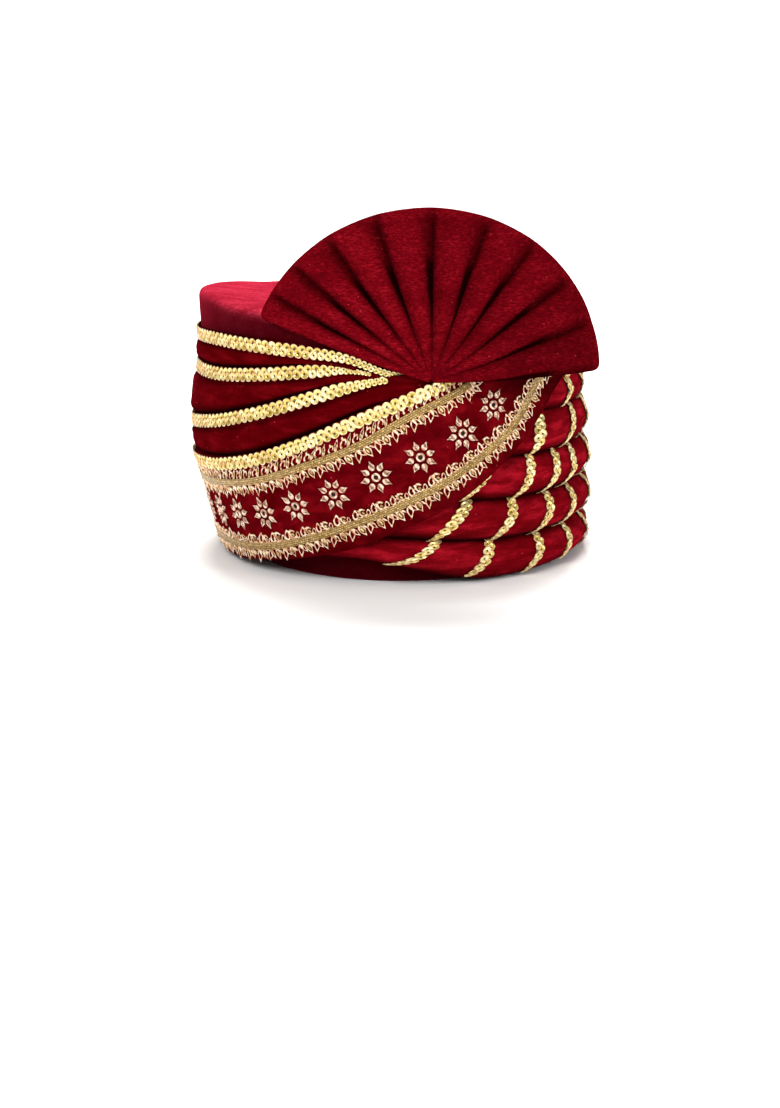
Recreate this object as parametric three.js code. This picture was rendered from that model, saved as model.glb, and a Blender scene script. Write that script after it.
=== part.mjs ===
// A ready-tied wedding turban (pagri) of crimson velvet, at its real size in millimetres, +Z up.
// A stiff cap carries four wraps that sweep from a knot at the front round the wearer's right side,
// five rolled tiers round the other side, gold laces, an embroidered band and a pleated fan.
// Angles run round the turban in degrees: 0 is the front (-Y), 90 is +X and 180 is the back (+Y).
import * as THREE from "three";

// The cap: an oval of felt and velvet, open at the rim for the head
const crownHeight = 140;
const headHalfWidth = 84;
const headHalfDepth = 98;
const crownWall = 3;
const crownTopHalfWidth = 106;
const crownTopHalfDepth = 114;
const rimShift = 5; // the rim stands this far to +X of the crown's top
const shoulderRadius = 5;
const topDome = 2;
const topTilt = 2; // the top's rim rises by this towards -X
const topFall = 4; // and falls by this towards the back
const tiltFrom = 0.9; // the tilt starts at this share of the side's height

// Cloth, padding and the gaps between pieces
const clearance = 0.4;
const foldSeam = 0.5;
const foldNotch = 2; // how far the ledge under a fold's lace lies behind its belly
const clothThickness = 1.2;
const paddingDepth = 20; // the most that the wraps stand out from the cap
const bandThickness = 3;
const bandStand = 1; // how far the band stands out past the padding
const coverRun = 10; // the rolls sink over this height on their way under the band
const coverMargin = 5; // and are fully sunk this far below its edge

// The rolled tiers
const tierCount = 5;
const tierPitch = 21.6;
const lowestTierHeight = 21.5;
const tierLean = 4.5; // the creases climb by this towards the band
const leanAngles = { from: -10, to: 40 };
const baseLift = 13; // the lowest roll draws up by this as it goes under the band
const liftAngles = { from: -14, to: 32 };
const creaseShare = 0.34; // what is left of the padding in the crease between two tiers
const tiersFrom = -54; // no tier starts before this angle
const tierMargin = 5; // each starts where the band reaches this far above it
const tierEnd = 189; // the tiers end at the back, under the hem of the wraps
const hemOverlap = 9; // the angle by which the hem covers them
const tierEndThickness = 2.4;

// Laces, borders and flowers
const laceWidth = 7.5;
const laceThickness = 1;
const trimGap = 0.6; // beneath a lace that bends over the rolls, and beneath a flower
const borderWidth = 5.5;
const borderThickness = 0.9;
const flowerRadius = 8.2;
const flowerHubRadius = 3.4;
const flowerThickness = 1.1;
const flowerPetals = 8;
const flowerPitchAngle = 11.7;
const lastFlowerAngle = 30.7;
const flowerHemAngle = 21; // no flower lies nearer to the hem
const bandLaceEnd = 15;
const upperBorderEnd = 22;
const lowerBorderEnd = 54;

// The pleated fan, in its own polar frame about the pivot where its pleats gather
const fanRadius = 87;
const fanFootRadius = 3;
const fanPivotX = 21;
const fanPivotShare = 0.781; // the pivot's height as a share of the crown's
const fanThickness = 2.2;
const fanPleatDepth = 7;
const fanLean = 4; // how far the sheet comes forward of its foot
const fanLeanRun = 12;
const fanCurveShare = 1.52; // the wings bend round this many times the crown's front radius
const fanPleats = [
  // edge is the angle of a valley, or of the fan's own end, above the +X side
  { edge: 1.5, reach: 1 },
  { edge: 18.5, reach: 1 },
  { edge: 35.5, reach: 1 },
  { edge: 53, reach: 1 },
  { edge: 70.5, reach: 1 },
  { edge: 89.5, reach: 1.005 },
  { edge: 109, reach: 1.015 },
  { edge: 126, reach: 1.03 },
  { edge: 140.5, reach: 1.045 },
  { edge: 152.5, reach: 1.06 },
  { edge: 161.5, reach: 1.07 },
];

// Padding over the cap as shares of paddingDepth, at shares of the crown's height
const paddingRows = [
  { height: 0, left: 0.62, right: 0.95 },
  { height: 0.25, left: 0.65, right: 0.85 },
  { height: 0.5, left: 0.72, right: 0.55 },
  { height: 0.75, left: 0.28, right: 0.19 },
  { height: 0.9, left: 0.09, right: 0.09 },
  { height: 1, left: 0.06, right: 0.06 },
];

// Heights of the laces between the wraps, as shares of the crown's height, at angles round the turban
const laceRows = [
  { angle: -180, lace1: 0.845, lace2: 0.69, lace3: 0.51 },
  { angle: -130, lace1: 0.85, lace2: 0.71, lace3: 0.505 },
  { angle: -90, lace1: 0.86, lace2: 0.735, lace3: 0.51 },
  { angle: -60, lace1: 0.878, lace2: 0.745, lace3: 0.564 },
  { angle: -40, lace1: 0.879, lace2: 0.772, lace3: 0.629 },
  { angle: -24, lace1: 0.872, lace2: 0.8, lace3: 0.698 },
  { angle: -12, lace1: 0.856, lace2: 0.812, lace3: 0.75 },
  { angle: 0, lace1: 0.802, lace2: 0.79, lace3: 0.783 },
  { angle: 16, lace1: 0.78, lace2: 0.78, lace3: 0.786 },
];

// Heights of the front band's two edges and of its two borders, as shares of the crown's height
const bandRows = [
  { angle: -180, top: 0.37, upper: 0.275, lower: 0.072, bottom: 0.01 },
  { angle: -130, top: 0.378, upper: 0.283, lower: 0.072, bottom: 0.01 },
  { angle: -90, top: 0.4, upper: 0.299, lower: 0.073, bottom: 0.01 },
  { angle: -60, top: 0.43, upper: 0.327, lower: 0.087, bottom: 0.022 },
  { angle: -40, top: 0.488, upper: 0.379, lower: 0.12, bottom: 0.062 },
  { angle: -24, top: 0.57, upper: 0.457, lower: 0.183, bottom: 0.105 },
  { angle: -12, top: 0.645, upper: 0.525, lower: 0.246, bottom: 0.15 },
  { angle: 0, top: 0.715, upper: 0.607, lower: 0.314, bottom: 0.218 },
  { angle: 16, top: 0.8, upper: 0.7, lower: 0.425, bottom: 0.314 },
  { angle: 32, top: 0.875, upper: 0.81, lower: 0.565, bottom: 0.462 },
  { angle: 46, top: 0.91, upper: 0.87, lower: 0.697, bottom: 0.612 },
  { angle: 60, top: 0.92, upper: 0.9, lower: 0.82, bottom: 0.77 },
];

// The wraps from the top down: the line of each one's lace and of the lace below it, the angles
// where the wrap and its lace run out into the knot, and how the lace narrows on its way there
const wraps = [
  { name: "left_wrap_1", lace: "lace1", below: "lace2", end: -9, laceEnd: 6, taper: 30, endShare: 0.4 },
  { name: "left_wrap_2", lace: "lace2", below: "lace3", end: -3, laceEnd: -8, taper: 16, endShare: 0.25 },
  { name: "left_wrap_3", lace: "lace3", below: "top", end: 8, laceEnd: -1, taper: 16, endShare: 0.35 },
];

// Laces down the front of the tiers from firstTier: the angles of their two ends, how they bow
// between them, and the angle that each roll turns them by
const frontLaces = [
  { firstTier: 3, top: 29, bottom: -8, bow: 0.6, slant: 3 },
  { firstTier: 2, top: 49, bottom: 18, bow: 0.75, slant: 0 },
  { firstTier: 3, top: 53, bottom: 41, bow: 0.8, slant: 2.5 },
  { firstTier: 1, top: 64, bottom: 59, bow: 1, slant: 5 },
];
// The laces round the side and back stand upright, spread evenly up to the hem
const sideLaceCount = 6;
const firstSideLace = 78;
const sideLaceHem = 25;
const sideLaceSlant = 5;

// Steps of the faceted solids
const angleStep = 9;
const rollRows = [0, 0.14, 0.5, 0.86, 1];
const wrapRows = [
  { share: 0, dip: 0.6 },
  { share: 0.12, dip: 0.15 },
  { share: 0.4, dip: 0 },
  { share: 0.8, dip: 0.15 },
  { share: 1, dip: 1 },
];
const bandProfileRows = [0, 0.05, 0.2, 0.4, 0.6, 0.8, 0.95, 1];

const velvet = new THREE.MeshStandardMaterial({ color: 0x7a0014, roughness: 0.85, metalness: 0 });
const sequin = new THREE.MeshStandardMaterial({ color: 0xe6c25a, roughness: 0.3, metalness: 0.6 });
const goldThread = new THREE.MeshStandardMaterial({ color: 0xc9a25c, roughness: 0.5, metalness: 0.4 });
const paleThread = new THREE.MeshStandardMaterial({ color: 0xe0c9a0, roughness: 0.5, metalness: 0.3 });

const degrees = THREE.MathUtils.degToRad;
const { lerp, clamp, smoothstep } = THREE.MathUtils;
const wrapStart = tierEnd - hemOverlap - 360;

// Smooth curve through a table's rows: the value of one column at a place along another
function follow(rows, along, column, place) {
  const last = rows.length - 1;
  const at = clamp(place, rows[0][along], rows[last][along]);
  let i = 0;
  while (i < last - 1 && at > rows[i + 1][along]) i += 1;
  const slope = (k) => {
    const before = rows[Math.max(k - 1, 0)];
    const after = rows[Math.min(k + 1, last)];
    return (after[column] - before[column]) / (after[along] - before[along]);
  };
  const span = rows[i + 1][along] - rows[i][along];
  const t = (at - rows[i][along]) / span;
  const [from, to] = [rows[i][column], rows[i + 1][column]];
  const [leave, arrive] = [slope(i) * span, slope(i + 1) * span];
  return (
    from * (2 * t ** 3 - 3 * t ** 2 + 1) +
    leave * (t ** 3 - 2 * t ** 2 + t) +
    to * (3 * t ** 2 - 2 * t ** 3) +
    arrive * (t ** 3 - t ** 2)
  );
}

const shoulderHeight = crownHeight - shoulderRadius;
const flare = (share) => share * (1.25 - 0.25 * share ** 2);

// The cap's own outer oval at a height: its half width, half depth and sideways shift
function crownOval(height) {
  const share = clamp(height / shoulderHeight, 0, 1);
  const rimHalfWidth = headHalfWidth + crownWall;
  const rimHalfDepth = headHalfDepth + crownWall;
  return {
    halfWidth: lerp(rimHalfWidth, crownTopHalfWidth, flare(share)),
    halfDepth: lerp(rimHalfDepth, crownTopHalfDepth, flare(share)),
    shift: rimShift * (1 - share) ** 2,
  };
}

// A point that stands out from the cap's side by an offset, at an angle and a height
function bodyPoint(angle, height, offset) {
  const oval = crownOval(height);
  const turn = degrees(angle);
  return new THREE.Vector3(
    oval.shift + (oval.halfWidth + offset) * Math.sin(turn),
    -(oval.halfDepth + offset) * Math.cos(turn),
    height,
  );
}

// How far the wraps stand out from the cap
function padding(angle, height) {
  const share = height / crownHeight;
  const side = (1 + Math.sin(degrees(angle))) / 2;
  const left = follow(paddingRows, "height", "left", share);
  const right = follow(paddingRows, "height", "right", share);
  return paddingDepth * lerp(left, right, side);
}

const tierLaceStand = laceThickness + trimGap + clearance;

const laceHeight = (line, angle) => crownHeight * follow(laceRows, "angle", line, angle);
const bandLine = (line, angle) => crownHeight * follow(bandRows, "angle", line, angle);
const bandTop = (angle) => bandLine("top", angle);
const laceWidthAt = ({ laceEnd, taper, endShare }, angle) =>
  laceWidth * lerp(1, endShare, smoothstep(angle, laceEnd - taper, laceEnd));

// The distance round the body for a degree of angle
function stepAt(angle, height, offset) {
  const ahead = bodyPoint(angle + 0.5, height, offset);
  return ahead.distanceTo(bodyPoint(angle - 0.5, height, offset));
}

// Half the height that a strip of some width takes up where its line climbs
function halfHeight(centre, width, angle) {
  const climb = (centre(angle + 0.5) - centre(angle - 0.5)) / stepAt(angle, centre(angle), 0);
  return (width / 2) * Math.hypot(1, climb);
}

// A fold's upper edge, and the ledge below it that carries its lace
function foldEdges(line, angle) {
  const wrap = wraps.find(({ lace }) => lace === line);
  if (!wrap) return { top: bandTop(angle) };
  const centre = (at) => laceHeight(line, at);
  const half = halfHeight(centre, laceWidthAt(wrap, angle), angle) + foldSeam;
  return { top: centre(angle) + half, ledge: centre(angle) - half };
}

// The hem of the wraps lifts over the ends of the tiers at the back
const hemLift = (angle) => {
  const overTiers = tierEndThickness + clearance;
  return overTiers * (1 - smoothstep(angle, tierEnd - 360, tierEnd - 360 + angleStep));
};

// The tiers: heights of their two creases, counted from 1 at the top
const leanAt = (angle) => tierLean * (1 - smoothstep(angle, leanAngles.from, leanAngles.to));
const tierTop = (number, angle) =>
  lowestTierHeight + (tierCount - number) * tierPitch + leanAt(angle);
const tierBottom = (number, angle) =>
  number === tierCount
    ? clearance + baseLift * (1 - smoothstep(angle, liftAngles.from, liftAngles.to))
    : tierTop(number + 1, angle);

// The tiers from the top down, and the step of angle where the band covers each one's start
const tiers = Array.from({ length: tierCount }, (_, i) => {
  let start = tiersFrom;
  while (bandTop(start) < tierTop(i + 1, start) + tierMargin && start < liftAngles.to) start += angleStep;
  return { number: i + 1, start };
});

// The height up to which tiers lie under the band at an angle
const tieredHeight = (angle) =>
  Math.max(0, ...tiers.map(({ number, start }) => (start > angle + 0.1 ? 0 : tierTop(number, angle))));

// The band lies over the wraps' padding, and clear of any tier and lace beneath it
function bandOuter(angle, height) {
  const tiered = tieredHeight(angle);
  const overTiers = 1 - smoothstep(height, tiered + foldSeam, tiered + foldSeam + tierPitch / 2);
  const beneath = hemLift(angle) + overTiers * (clothThickness + tierLaceStand);
  return Math.max(padding(angle, height) + bandStand, clearance + beneath + bandThickness);
}

const wrapOuter = (angle, height) =>
  Math.max(padding(angle, height), clearance + hemLift(angle) + clothThickness);

// A closed solid from its vertices and triangles, turned to face outwards
function solidFrom(points, triangles) {
  const volume = triangles.reduce((sum, [a, b, c]) => {
    const cross = new THREE.Vector3().crossVectors(points[b], points[c]);
    return sum + points[a].dot(cross);
  }, 0);
  const index = triangles.flatMap(([a, b, c]) => (volume > 0 ? [a, b, c] : [a, c, b]));
  const geometry = new THREE.BufferGeometry().setFromPoints(points);
  geometry.setIndex(index);
  geometry.computeVertexNormals();
  return geometry;
}

// A solid lofted through sections, each an outside row and an inside row of as many points
function loft(sections) {
  const rows = sections[0].outside.length;
  const count = 2 * rows;
  const points = sections.flatMap(({ outside, inside }) => [...outside, ...inside.slice().reverse()]);
  const triangles = [];
  for (let i = 0; i < sections.length - 1; i += 1) {
    for (let j = 0; j < count; j += 1) {
      const a = i * count + j;
      const b = i * count + ((j + 1) % count);
      triangles.push([a, b, b + count], [a, b + count, a + count]);
    }
  }
  const last = (sections.length - 1) * count;
  for (let j = 0; j < rows - 1; j += 1) {
    const across = count - 1 - j;
    triangles.push([j, across - 1, j + 1], [j, across, across - 1]);
    triangles.push([last + j, last + j + 1, last + across - 1]);
    triangles.push([last + j, last + across - 1, last + across]);
  }
  return solidFrom(points, triangles);
}

// A cloth piece that follows the body: at each angle, section gives rows of height, outer and inner
function wrapRound(angles, section) {
  const sections = angles.map((angle) => {
    const rows = section(angle);
    return {
      outside: rows.map(({ height, outer }) => bodyPoint(angle, height, outer)),
      inside: rows.map(({ height, inner }) => bodyPoint(angle, height, inner)),
    };
  });
  return loft(sections);
}

// The angles of a piece: its two ends, and each common step between them
function anglesBetween(start, end) {
  const angles = [start];
  const first = Math.floor(start / angleStep + 0.1) + 1;
  for (let k = first; k * angleStep < end - 0.1 * angleStep; k += 1) angles.push(k * angleStep);
  angles.push(end);
  return angles;
}

// The surface of the ledge that carries a wrap's lace
function ledgeOuter(angle, height) {
  const least = clearance + hemLift(angle) + clothThickness;
  return Math.max(wrapOuter(angle, height) - foldNotch, least);
}

// A wrap: its belly bulges out between its lower edge and the ledge
function wrapGeometry({ lace, below, end }) {
  return wrapRound(anglesBetween(wrapStart, end), (angle) => {
    const low = foldEdges(below, angle).top + foldSeam / 2;
    const { top, ledge } = foldEdges(lace, angle);
    const inner = clearance + hemLift(angle);
    const belly = wrapRows.map(({ share, dip }) => {
      const height = lerp(low, Math.max(ledge, low + 2 * foldSeam), share);
      const sink = height > ledge - foldSeam ? 1 : dip;
      const outer = lerp(wrapOuter(angle, height), ledgeOuter(angle, height), sink);
      return { height, outer, inner };
    });
    const high = top - foldSeam / 2;
    return [...belly, { height: high, outer: ledgeOuter(angle, high), inner }];
  });
}

// How much of the band's edge turns in, at a share t of the way across it
const edgeTurn = (t) => 1 - Math.sqrt(Math.max(Math.sin(Math.PI * t), 0));

function bandGeometry() {
  const end = bandRows[bandRows.length - 1].angle;
  return wrapRound(anglesBetween(wrapStart, end), (angle) => {
    const low = bandLine("bottom", angle) + foldSeam / 2;
    const high = bandTop(angle) - foldSeam / 2;
    return bandProfileRows.map((t, i) => {
      const height = lerp(low, high, t);
      const outer = bandOuter(angle, height) - (bandThickness / 4) * edgeTurn(t);
      const heightBefore = lerp(low, high, bandProfileRows[Math.max(i - 1, 0)]);
      const overTiers = heightBefore < tieredHeight(angle) + foldSeam;
      const inner = overTiers
        ? bandOuter(angle, height) - bandThickness
        : clearance + hemLift(angle);
      return { height, outer, inner };
    });
  });
}

// How far a roll stands out, at a share t of the way up it
function rollOuter(angle, height, t) {
  const belly = lerp(creaseShare, 1, Math.max(Math.sin(Math.PI * t), 0) ** 0.55);
  const sunk = bandThickness + tierLaceStand - bandStand;
  const edge = bandLine("bottom", angle) - coverMargin;
  const cover = smoothstep(height, edge - coverRun, edge);
  const padded = padding(angle, height) - sunk * cover;
  const full = Math.max(padded * belly, clearance + clothThickness);
  const tuck = smoothstep(angle, tierEnd - 2 * angleStep, tierEnd - angleStep);
  return lerp(full, Math.min(full, tierEndThickness), tuck);
}

// A point of a roll's section: its height and how far it stands out
function rollPoint(number, angle, t) {
  const low = tierBottom(number, angle) + foldSeam / 2;
  const high = tierTop(number, angle) - foldSeam / 2;
  const height = lerp(low, high, t);
  return { height, outer: rollOuter(angle, height, t), inner: clearance };
}

const tierGeometry = (number, start) =>
  wrapRound(anglesBetween(start, tierEnd), (angle) =>
    rollRows.map((t) => rollPoint(number, angle, t)),
  );

// A lace or border: a thin strip along a line, lying clear of the cloth beneath it
function stripGeometry(angles, centre, width, thickness, cloth) {
  return wrapRound(angles, (angle) => {
    const half = halfHeight(centre, width(angle), angle);
    return [centre(angle) - half, centre(angle) + half].map((height) => {
      const inner = cloth(angle, height) + clearance;
      return { height, outer: inner + thickness, inner };
    });
  });
}

// A lace that runs down over the tiers, following every roll and crease
function tierLaceGeometry({ firstTier, top, bottom, bow, slant }) {
  const sections = [];
  const highest = tierTop(firstTier, tierEnd);
  const halfAngle = THREE.MathUtils.radToDeg(laceWidth / 2 / crownTopHalfDepth);
  const corner = (number, angle, t, lift) => {
    const before = Math.floor(angle / angleStep) * angleStep;
    const [from, to] = [before, before + angleStep].map((at) => rollPoint(number, at, t));
    const share = (angle - before) / angleStep;
    const height = lerp(from.height, to.height, share);
    return bodyPoint(angle, height, lerp(from.outer, to.outer, share) + trimGap + lift);
  };
  for (let number = tierCount; number >= firstTier; number -= 1) {
    const [low, high] = [tierBottom(number, tierEnd), tierTop(number, tierEnd)];
    for (const t of rollRows) {
      const rise = lerp(low, high, t) / highest;
      const middle = lerp(bottom, top, rise ** bow) + slant * (t - 0.5);
      const edges = [middle - halfAngle, middle + halfAngle];
      const side = (lift) => edges.map((angle) => corner(number, angle, t, lift));
      sections.push({ outside: side(laceThickness), inside: side(0) });
    }
  }
  return loft(sections);
}

// An embroidered flower: a raised star of pointed petals on the band
function flowerGeometry(angle) {
  const middle = (bandLine("upper", angle) + bandLine("lower", angle)) / 2;
  const step = stepAt(angle, middle, bandOuter(angle, middle));
  const place = (along, up, lift) => {
    const at = angle + along / step;
    return bodyPoint(at, middle + up, bandOuter(at, middle + up) + trimGap + lift);
  };
  const corners = 2 * flowerPetals;
  const points = [place(0, 0, 0), place(0, 0, flowerThickness)];
  for (let k = 0; k < corners; k += 1) {
    const turn = (Math.PI * k) / flowerPetals;
    const reach = k % 2 ? flowerHubRadius : flowerRadius;
    const [along, up] = [reach * Math.sin(turn), reach * Math.cos(turn)];
    points.push(place(along, up, 0), place(along, up, flowerThickness));
  }
  const triangles = [];
  for (let k = 0; k < corners; k += 1) {
    const a = 2 + 2 * k;
    const b = 2 + 2 * ((k + 1) % corners);
    triangles.push([0, b, a], [1, a + 1, b + 1], [a, b, b + 1], [a, b + 1, a + 1]);
  }
  return solidFrom(points, triangles);
}

// The cap: side, rounded shoulder and domed top outside, and the same one wall thickness inside
function crownGeometry() {
  const around = 360 / angleStep;
  const sideSteps = 5;
  const shoulderSteps = 3;
  const ring = (halfWidth, halfDepth, shift, height) =>
    Array.from({ length: around }, (_, k) => {
      const turn = degrees(k * angleStep);
      const [side, back] = [Math.sin(turn), -Math.cos(turn)];
      const tilt = -topTilt * side - topFall * Math.max(back, 0);
      const rimShare = halfWidth / crownTopHalfWidth;
      const rise = tilt * rimShare * smoothstep(height, tiltFrom * shoulderHeight, shoulderHeight);
      return new THREE.Vector3(shift + halfWidth * side, halfDepth * back, height + rise);
    });
  const shell = (wall) => {
    const rings = [];
    for (let i = 0; i <= sideSteps; i += 1) {
      const height = (shoulderHeight * i) / sideSteps;
      const oval = crownOval(height);
      rings.push(ring(oval.halfWidth - wall, oval.halfDepth - wall, oval.shift, height));
    }
    const top = crownOval(shoulderHeight);
    for (let i = 1; i <= shoulderSteps; i += 1) {
      const turn = (Math.PI / 2) * (i / shoulderSteps);
      const inward = shoulderRadius - (shoulderRadius - wall) * Math.cos(turn);
      const height = shoulderHeight + (shoulderRadius - wall) * Math.sin(turn);
      rings.push(ring(top.halfWidth - inward, top.halfDepth - inward, 0, height));
    }
    const domeShare = 0.5;
    const domeHeight = crownHeight - wall + topDome * (1 - domeShare ** 2);
    const domeWidth = (top.halfWidth - shoulderRadius) * domeShare;
    const domeDepth = (top.halfDepth - shoulderRadius) * domeShare;
    rings.push(ring(domeWidth, domeDepth, 0, domeHeight));
    return { rings, pole: new THREE.Vector3(0, 0, crownHeight - wall + topDome) };
  };
  const [outer, inner] = [shell(0), shell(crownWall)];
  const rings = [...inner.rings.slice().reverse(), ...outer.rings];
  const points = [...rings.flat(), inner.pole, outer.pole];
  const triangles = [];
  for (let i = 0; i < rings.length - 1; i += 1) {
    for (let j = 0; j < around; j += 1) {
      const a = i * around + j;
      const b = i * around + ((j + 1) % around);
      triangles.push([a, b, b + around], [a, b + around, a + around]);
    }
  }
  const innerPole = rings.length * around;
  const lastRing = (rings.length - 1) * around;
  for (let j = 0; j < around; j += 1) {
    const next = (j + 1) % around;
    triangles.push([innerPole, next, j], [innerPole + 1, lastRing + j, lastRing + next]);
  }
  return solidFrom(points, triangles);
}

// How far a pleat bulges, at a share t of the way across it
const crestShare = (t) => Math.max(Math.sin(Math.PI * t), 0) ** 0.6;

// Pleats are shallow at the foot and at the stitched rim, and deepest between
const pleatShare = (share) => 0.12 + 0.88 * Math.sin(Math.PI * (0.15 + 0.72 * share)) ** 1.2;

// The fan: a sheet pleated about the pivot, its foot against the knot and its wings bent back
function fanGeometry() {
  const pleatSteps = [0, 0.16, 0.5, 0.84];
  const reachSteps = [0, 0.1, 0.3, 0.55, 0.8, 0.94, 1];
  const rays = [];
  for (let i = 0; i < fanPleats.length - 1; i += 1) {
    for (const t of pleatSteps) {
      const angle = lerp(fanPleats[i].edge, fanPleats[i + 1].edge, t);
      const radius = fanRadius * lerp(fanPleats[i].reach, fanPleats[i + 1].reach, t);
      rays.push({ angle, radius, crest: crestShare(t) });
    }
  }
  const last = fanPleats[fanPleats.length - 1];
  rays.push({ angle: last.edge, radius: fanRadius * last.reach, crest: 0 });
  const fanPivotHeight = fanPivotShare * crownHeight;
  const fanCurveRadius = (fanCurveShare * crownTopHalfWidth ** 2) / crownTopHalfDepth;
  const footAngle = THREE.MathUtils.radToDeg(Math.asin(fanPivotX / crownTopHalfWidth));
  const stand = bandOuter(footAngle, fanPivotHeight) + laceThickness + clearance;
  const seat = -bodyPoint(footAngle, fanPivotHeight, stand).y;
  const place = (ray, share, lift) => {
    const reach = lerp(fanFootRadius, ray.radius, share);
    const along = reach * Math.cos(degrees(ray.angle));
    const up = reach * Math.sin(degrees(ray.angle));
    const forward = fanLean * (1 - Math.exp((fanFootRadius - reach) / fanLeanRun));
    const bend = along ** 2 / (2 * fanCurveRadius);
    const pleat = fanPleatDepth * pleatShare(share) * ray.crest;
    return new THREE.Vector3(
      fanPivotX + along,
      -(seat + forward + pleat + lift) + bend,
      fanPivotHeight + up,
    );
  };
  const points = [];
  for (const lift of [0, fanThickness]) {
    for (const ray of rays) {
      for (const share of reachSteps) points.push(place(ray, share, lift));
    }
  }
  const count = reachSteps.length;
  const half = rays.length * count;
  const triangles = [];
  const quad = (a, b, c, d) => triangles.push([a, b, c], [a, c, d]);
  for (let i = 0; i < rays.length - 1; i += 1) {
    for (let j = 0; j < count - 1; j += 1) {
      const a = i * count + j;
      quad(a, a + 1, a + count + 1, a + count);
      quad(half + a, half + a + count, half + a + count + 1, half + a + 1);
    }
  }
  for (let i = 0; i < rays.length - 1; i += 1) {
    const a = i * count;
    quad(a, a + count, half + a + count, half + a);
    const b = a + count - 1;
    quad(b, half + b, half + b + count, b + count);
  }
  for (let j = 0; j < count - 1; j += 1) {
    quad(j, half + j, half + j + 1, j + 1);
    const b = (rays.length - 1) * count + j;
    quad(b, b + 1, half + b + 1, half + b);
  }
  return solidFrom(points, triangles);
}

const turban = new THREE.Group();

function add(name, geometry, material) {
  const mesh = new THREE.Mesh(geometry, material);
  mesh.name = name;
  turban.add(mesh);
}

add("crown_cap", crownGeometry(), velvet);
wraps.forEach((wrap) => add(wrap.name, wrapGeometry(wrap), velvet));
add("front_band", bandGeometry(), velvet);
tiers.forEach(({ number, start }) => add(`tier_${number}`, tierGeometry(number, start), velvet));
add("pleated_fan", fanGeometry(), velvet);

// A lace along the upper edge of each wrap, and of the band
wraps.forEach((wrap, i) => {
  const centre = (angle) => laceHeight(wrap.lace, angle);
  const width = (angle) => laceWidthAt(wrap, angle);
  const angles = anglesBetween(wrapStart, wrap.laceEnd);
  const strip = stripGeometry(angles, centre, width, laceThickness, ledgeOuter);
  add(`wrap_lace_${i + 1}`, strip, sequin);
});
add(
  "band_lace",
  stripGeometry(
    anglesBetween(wrapStart, bandLaceEnd),
    (angle) => bandTop(angle) - laceWidth / 2 - foldSeam,
    () => laceWidth,
    laceThickness,
    bandOuter,
  ),
  sequin,
);

// Woven gold borders above and below the flowers
add(
  "band_border_upper",
  stripGeometry(
    anglesBetween(wrapStart, upperBorderEnd),
    (angle) => bandLine("upper", angle),
    () => borderWidth,
    borderThickness,
    bandOuter,
  ),
  goldThread,
);
add(
  "band_border_lower",
  stripGeometry(
    anglesBetween(wrapStart, lowerBorderEnd),
    (angle) => bandLine("lower", angle),
    () => borderWidth,
    borderThickness,
    bandOuter,
  ),
  goldThread,
);

const sideLaces = Array.from({ length: sideLaceCount }, (_, i) => {
  const middle = lerp(firstSideLace, tierEnd - sideLaceHem, i / (sideLaceCount - 1));
  return { firstTier: 1, top: middle, bottom: middle, bow: 1, slant: sideLaceSlant };
});
[...frontLaces, ...sideLaces].forEach((lace, i) => {
  add(`tier_lace_${i + 1}`, tierLaceGeometry(lace), sequin);
});

const flowerStretch = lastFlowerAngle - wrapStart - flowerHemAngle;
const flowerCount = 1 + Math.floor(flowerStretch / flowerPitchAngle);
for (let k = 0; k < flowerCount; k += 1) {
  const angle = lastFlowerAngle - (flowerCount - 1 - k) * flowerPitchAngle;
  add(`flower_${k + 1}`, flowerGeometry(angle), paleThread);
}

// The origin is the middle of the turban's footprint, on the surface that it stands on
const bounds = new THREE.Box3().setFromObject(turban);
const middle = bounds.getCenter(new THREE.Vector3());
turban.position.set(-middle.x, -middle.y, -bounds.min.z);

export default turban;
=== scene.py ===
# A ready-tied wedding turban of crimson velvet with sequin laces, an embroidered band and a pleated fan.
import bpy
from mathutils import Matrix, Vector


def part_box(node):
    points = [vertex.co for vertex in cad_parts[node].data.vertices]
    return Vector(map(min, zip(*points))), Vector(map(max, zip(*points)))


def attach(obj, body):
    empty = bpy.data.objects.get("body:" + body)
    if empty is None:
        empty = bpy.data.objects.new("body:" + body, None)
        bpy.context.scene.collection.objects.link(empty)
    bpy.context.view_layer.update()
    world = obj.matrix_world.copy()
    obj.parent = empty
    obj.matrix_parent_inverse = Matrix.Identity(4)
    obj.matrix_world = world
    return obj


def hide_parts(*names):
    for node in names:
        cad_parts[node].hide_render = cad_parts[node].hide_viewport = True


bl_info = {
    "name": "Tied turban pagri",
    "version": (1, 0, 0),
    "blender": (4, 5, 0),
    "location": "3D View > Sidebar > Turban",
    "description": "Builds a velvet turban with sequin laces, an embroidered band and a pleated fan",
    "category": "Add Mesh",
}

import math
from functools import lru_cache

import bmesh
import bpy
from mathutils import Matrix, Vector, noise

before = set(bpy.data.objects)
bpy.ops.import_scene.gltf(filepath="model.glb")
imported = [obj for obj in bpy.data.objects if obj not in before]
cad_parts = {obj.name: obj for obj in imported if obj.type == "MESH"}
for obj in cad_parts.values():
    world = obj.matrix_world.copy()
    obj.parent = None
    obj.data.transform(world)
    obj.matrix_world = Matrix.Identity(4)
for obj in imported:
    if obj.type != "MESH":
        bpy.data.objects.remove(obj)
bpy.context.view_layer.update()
MM = 0.001

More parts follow.
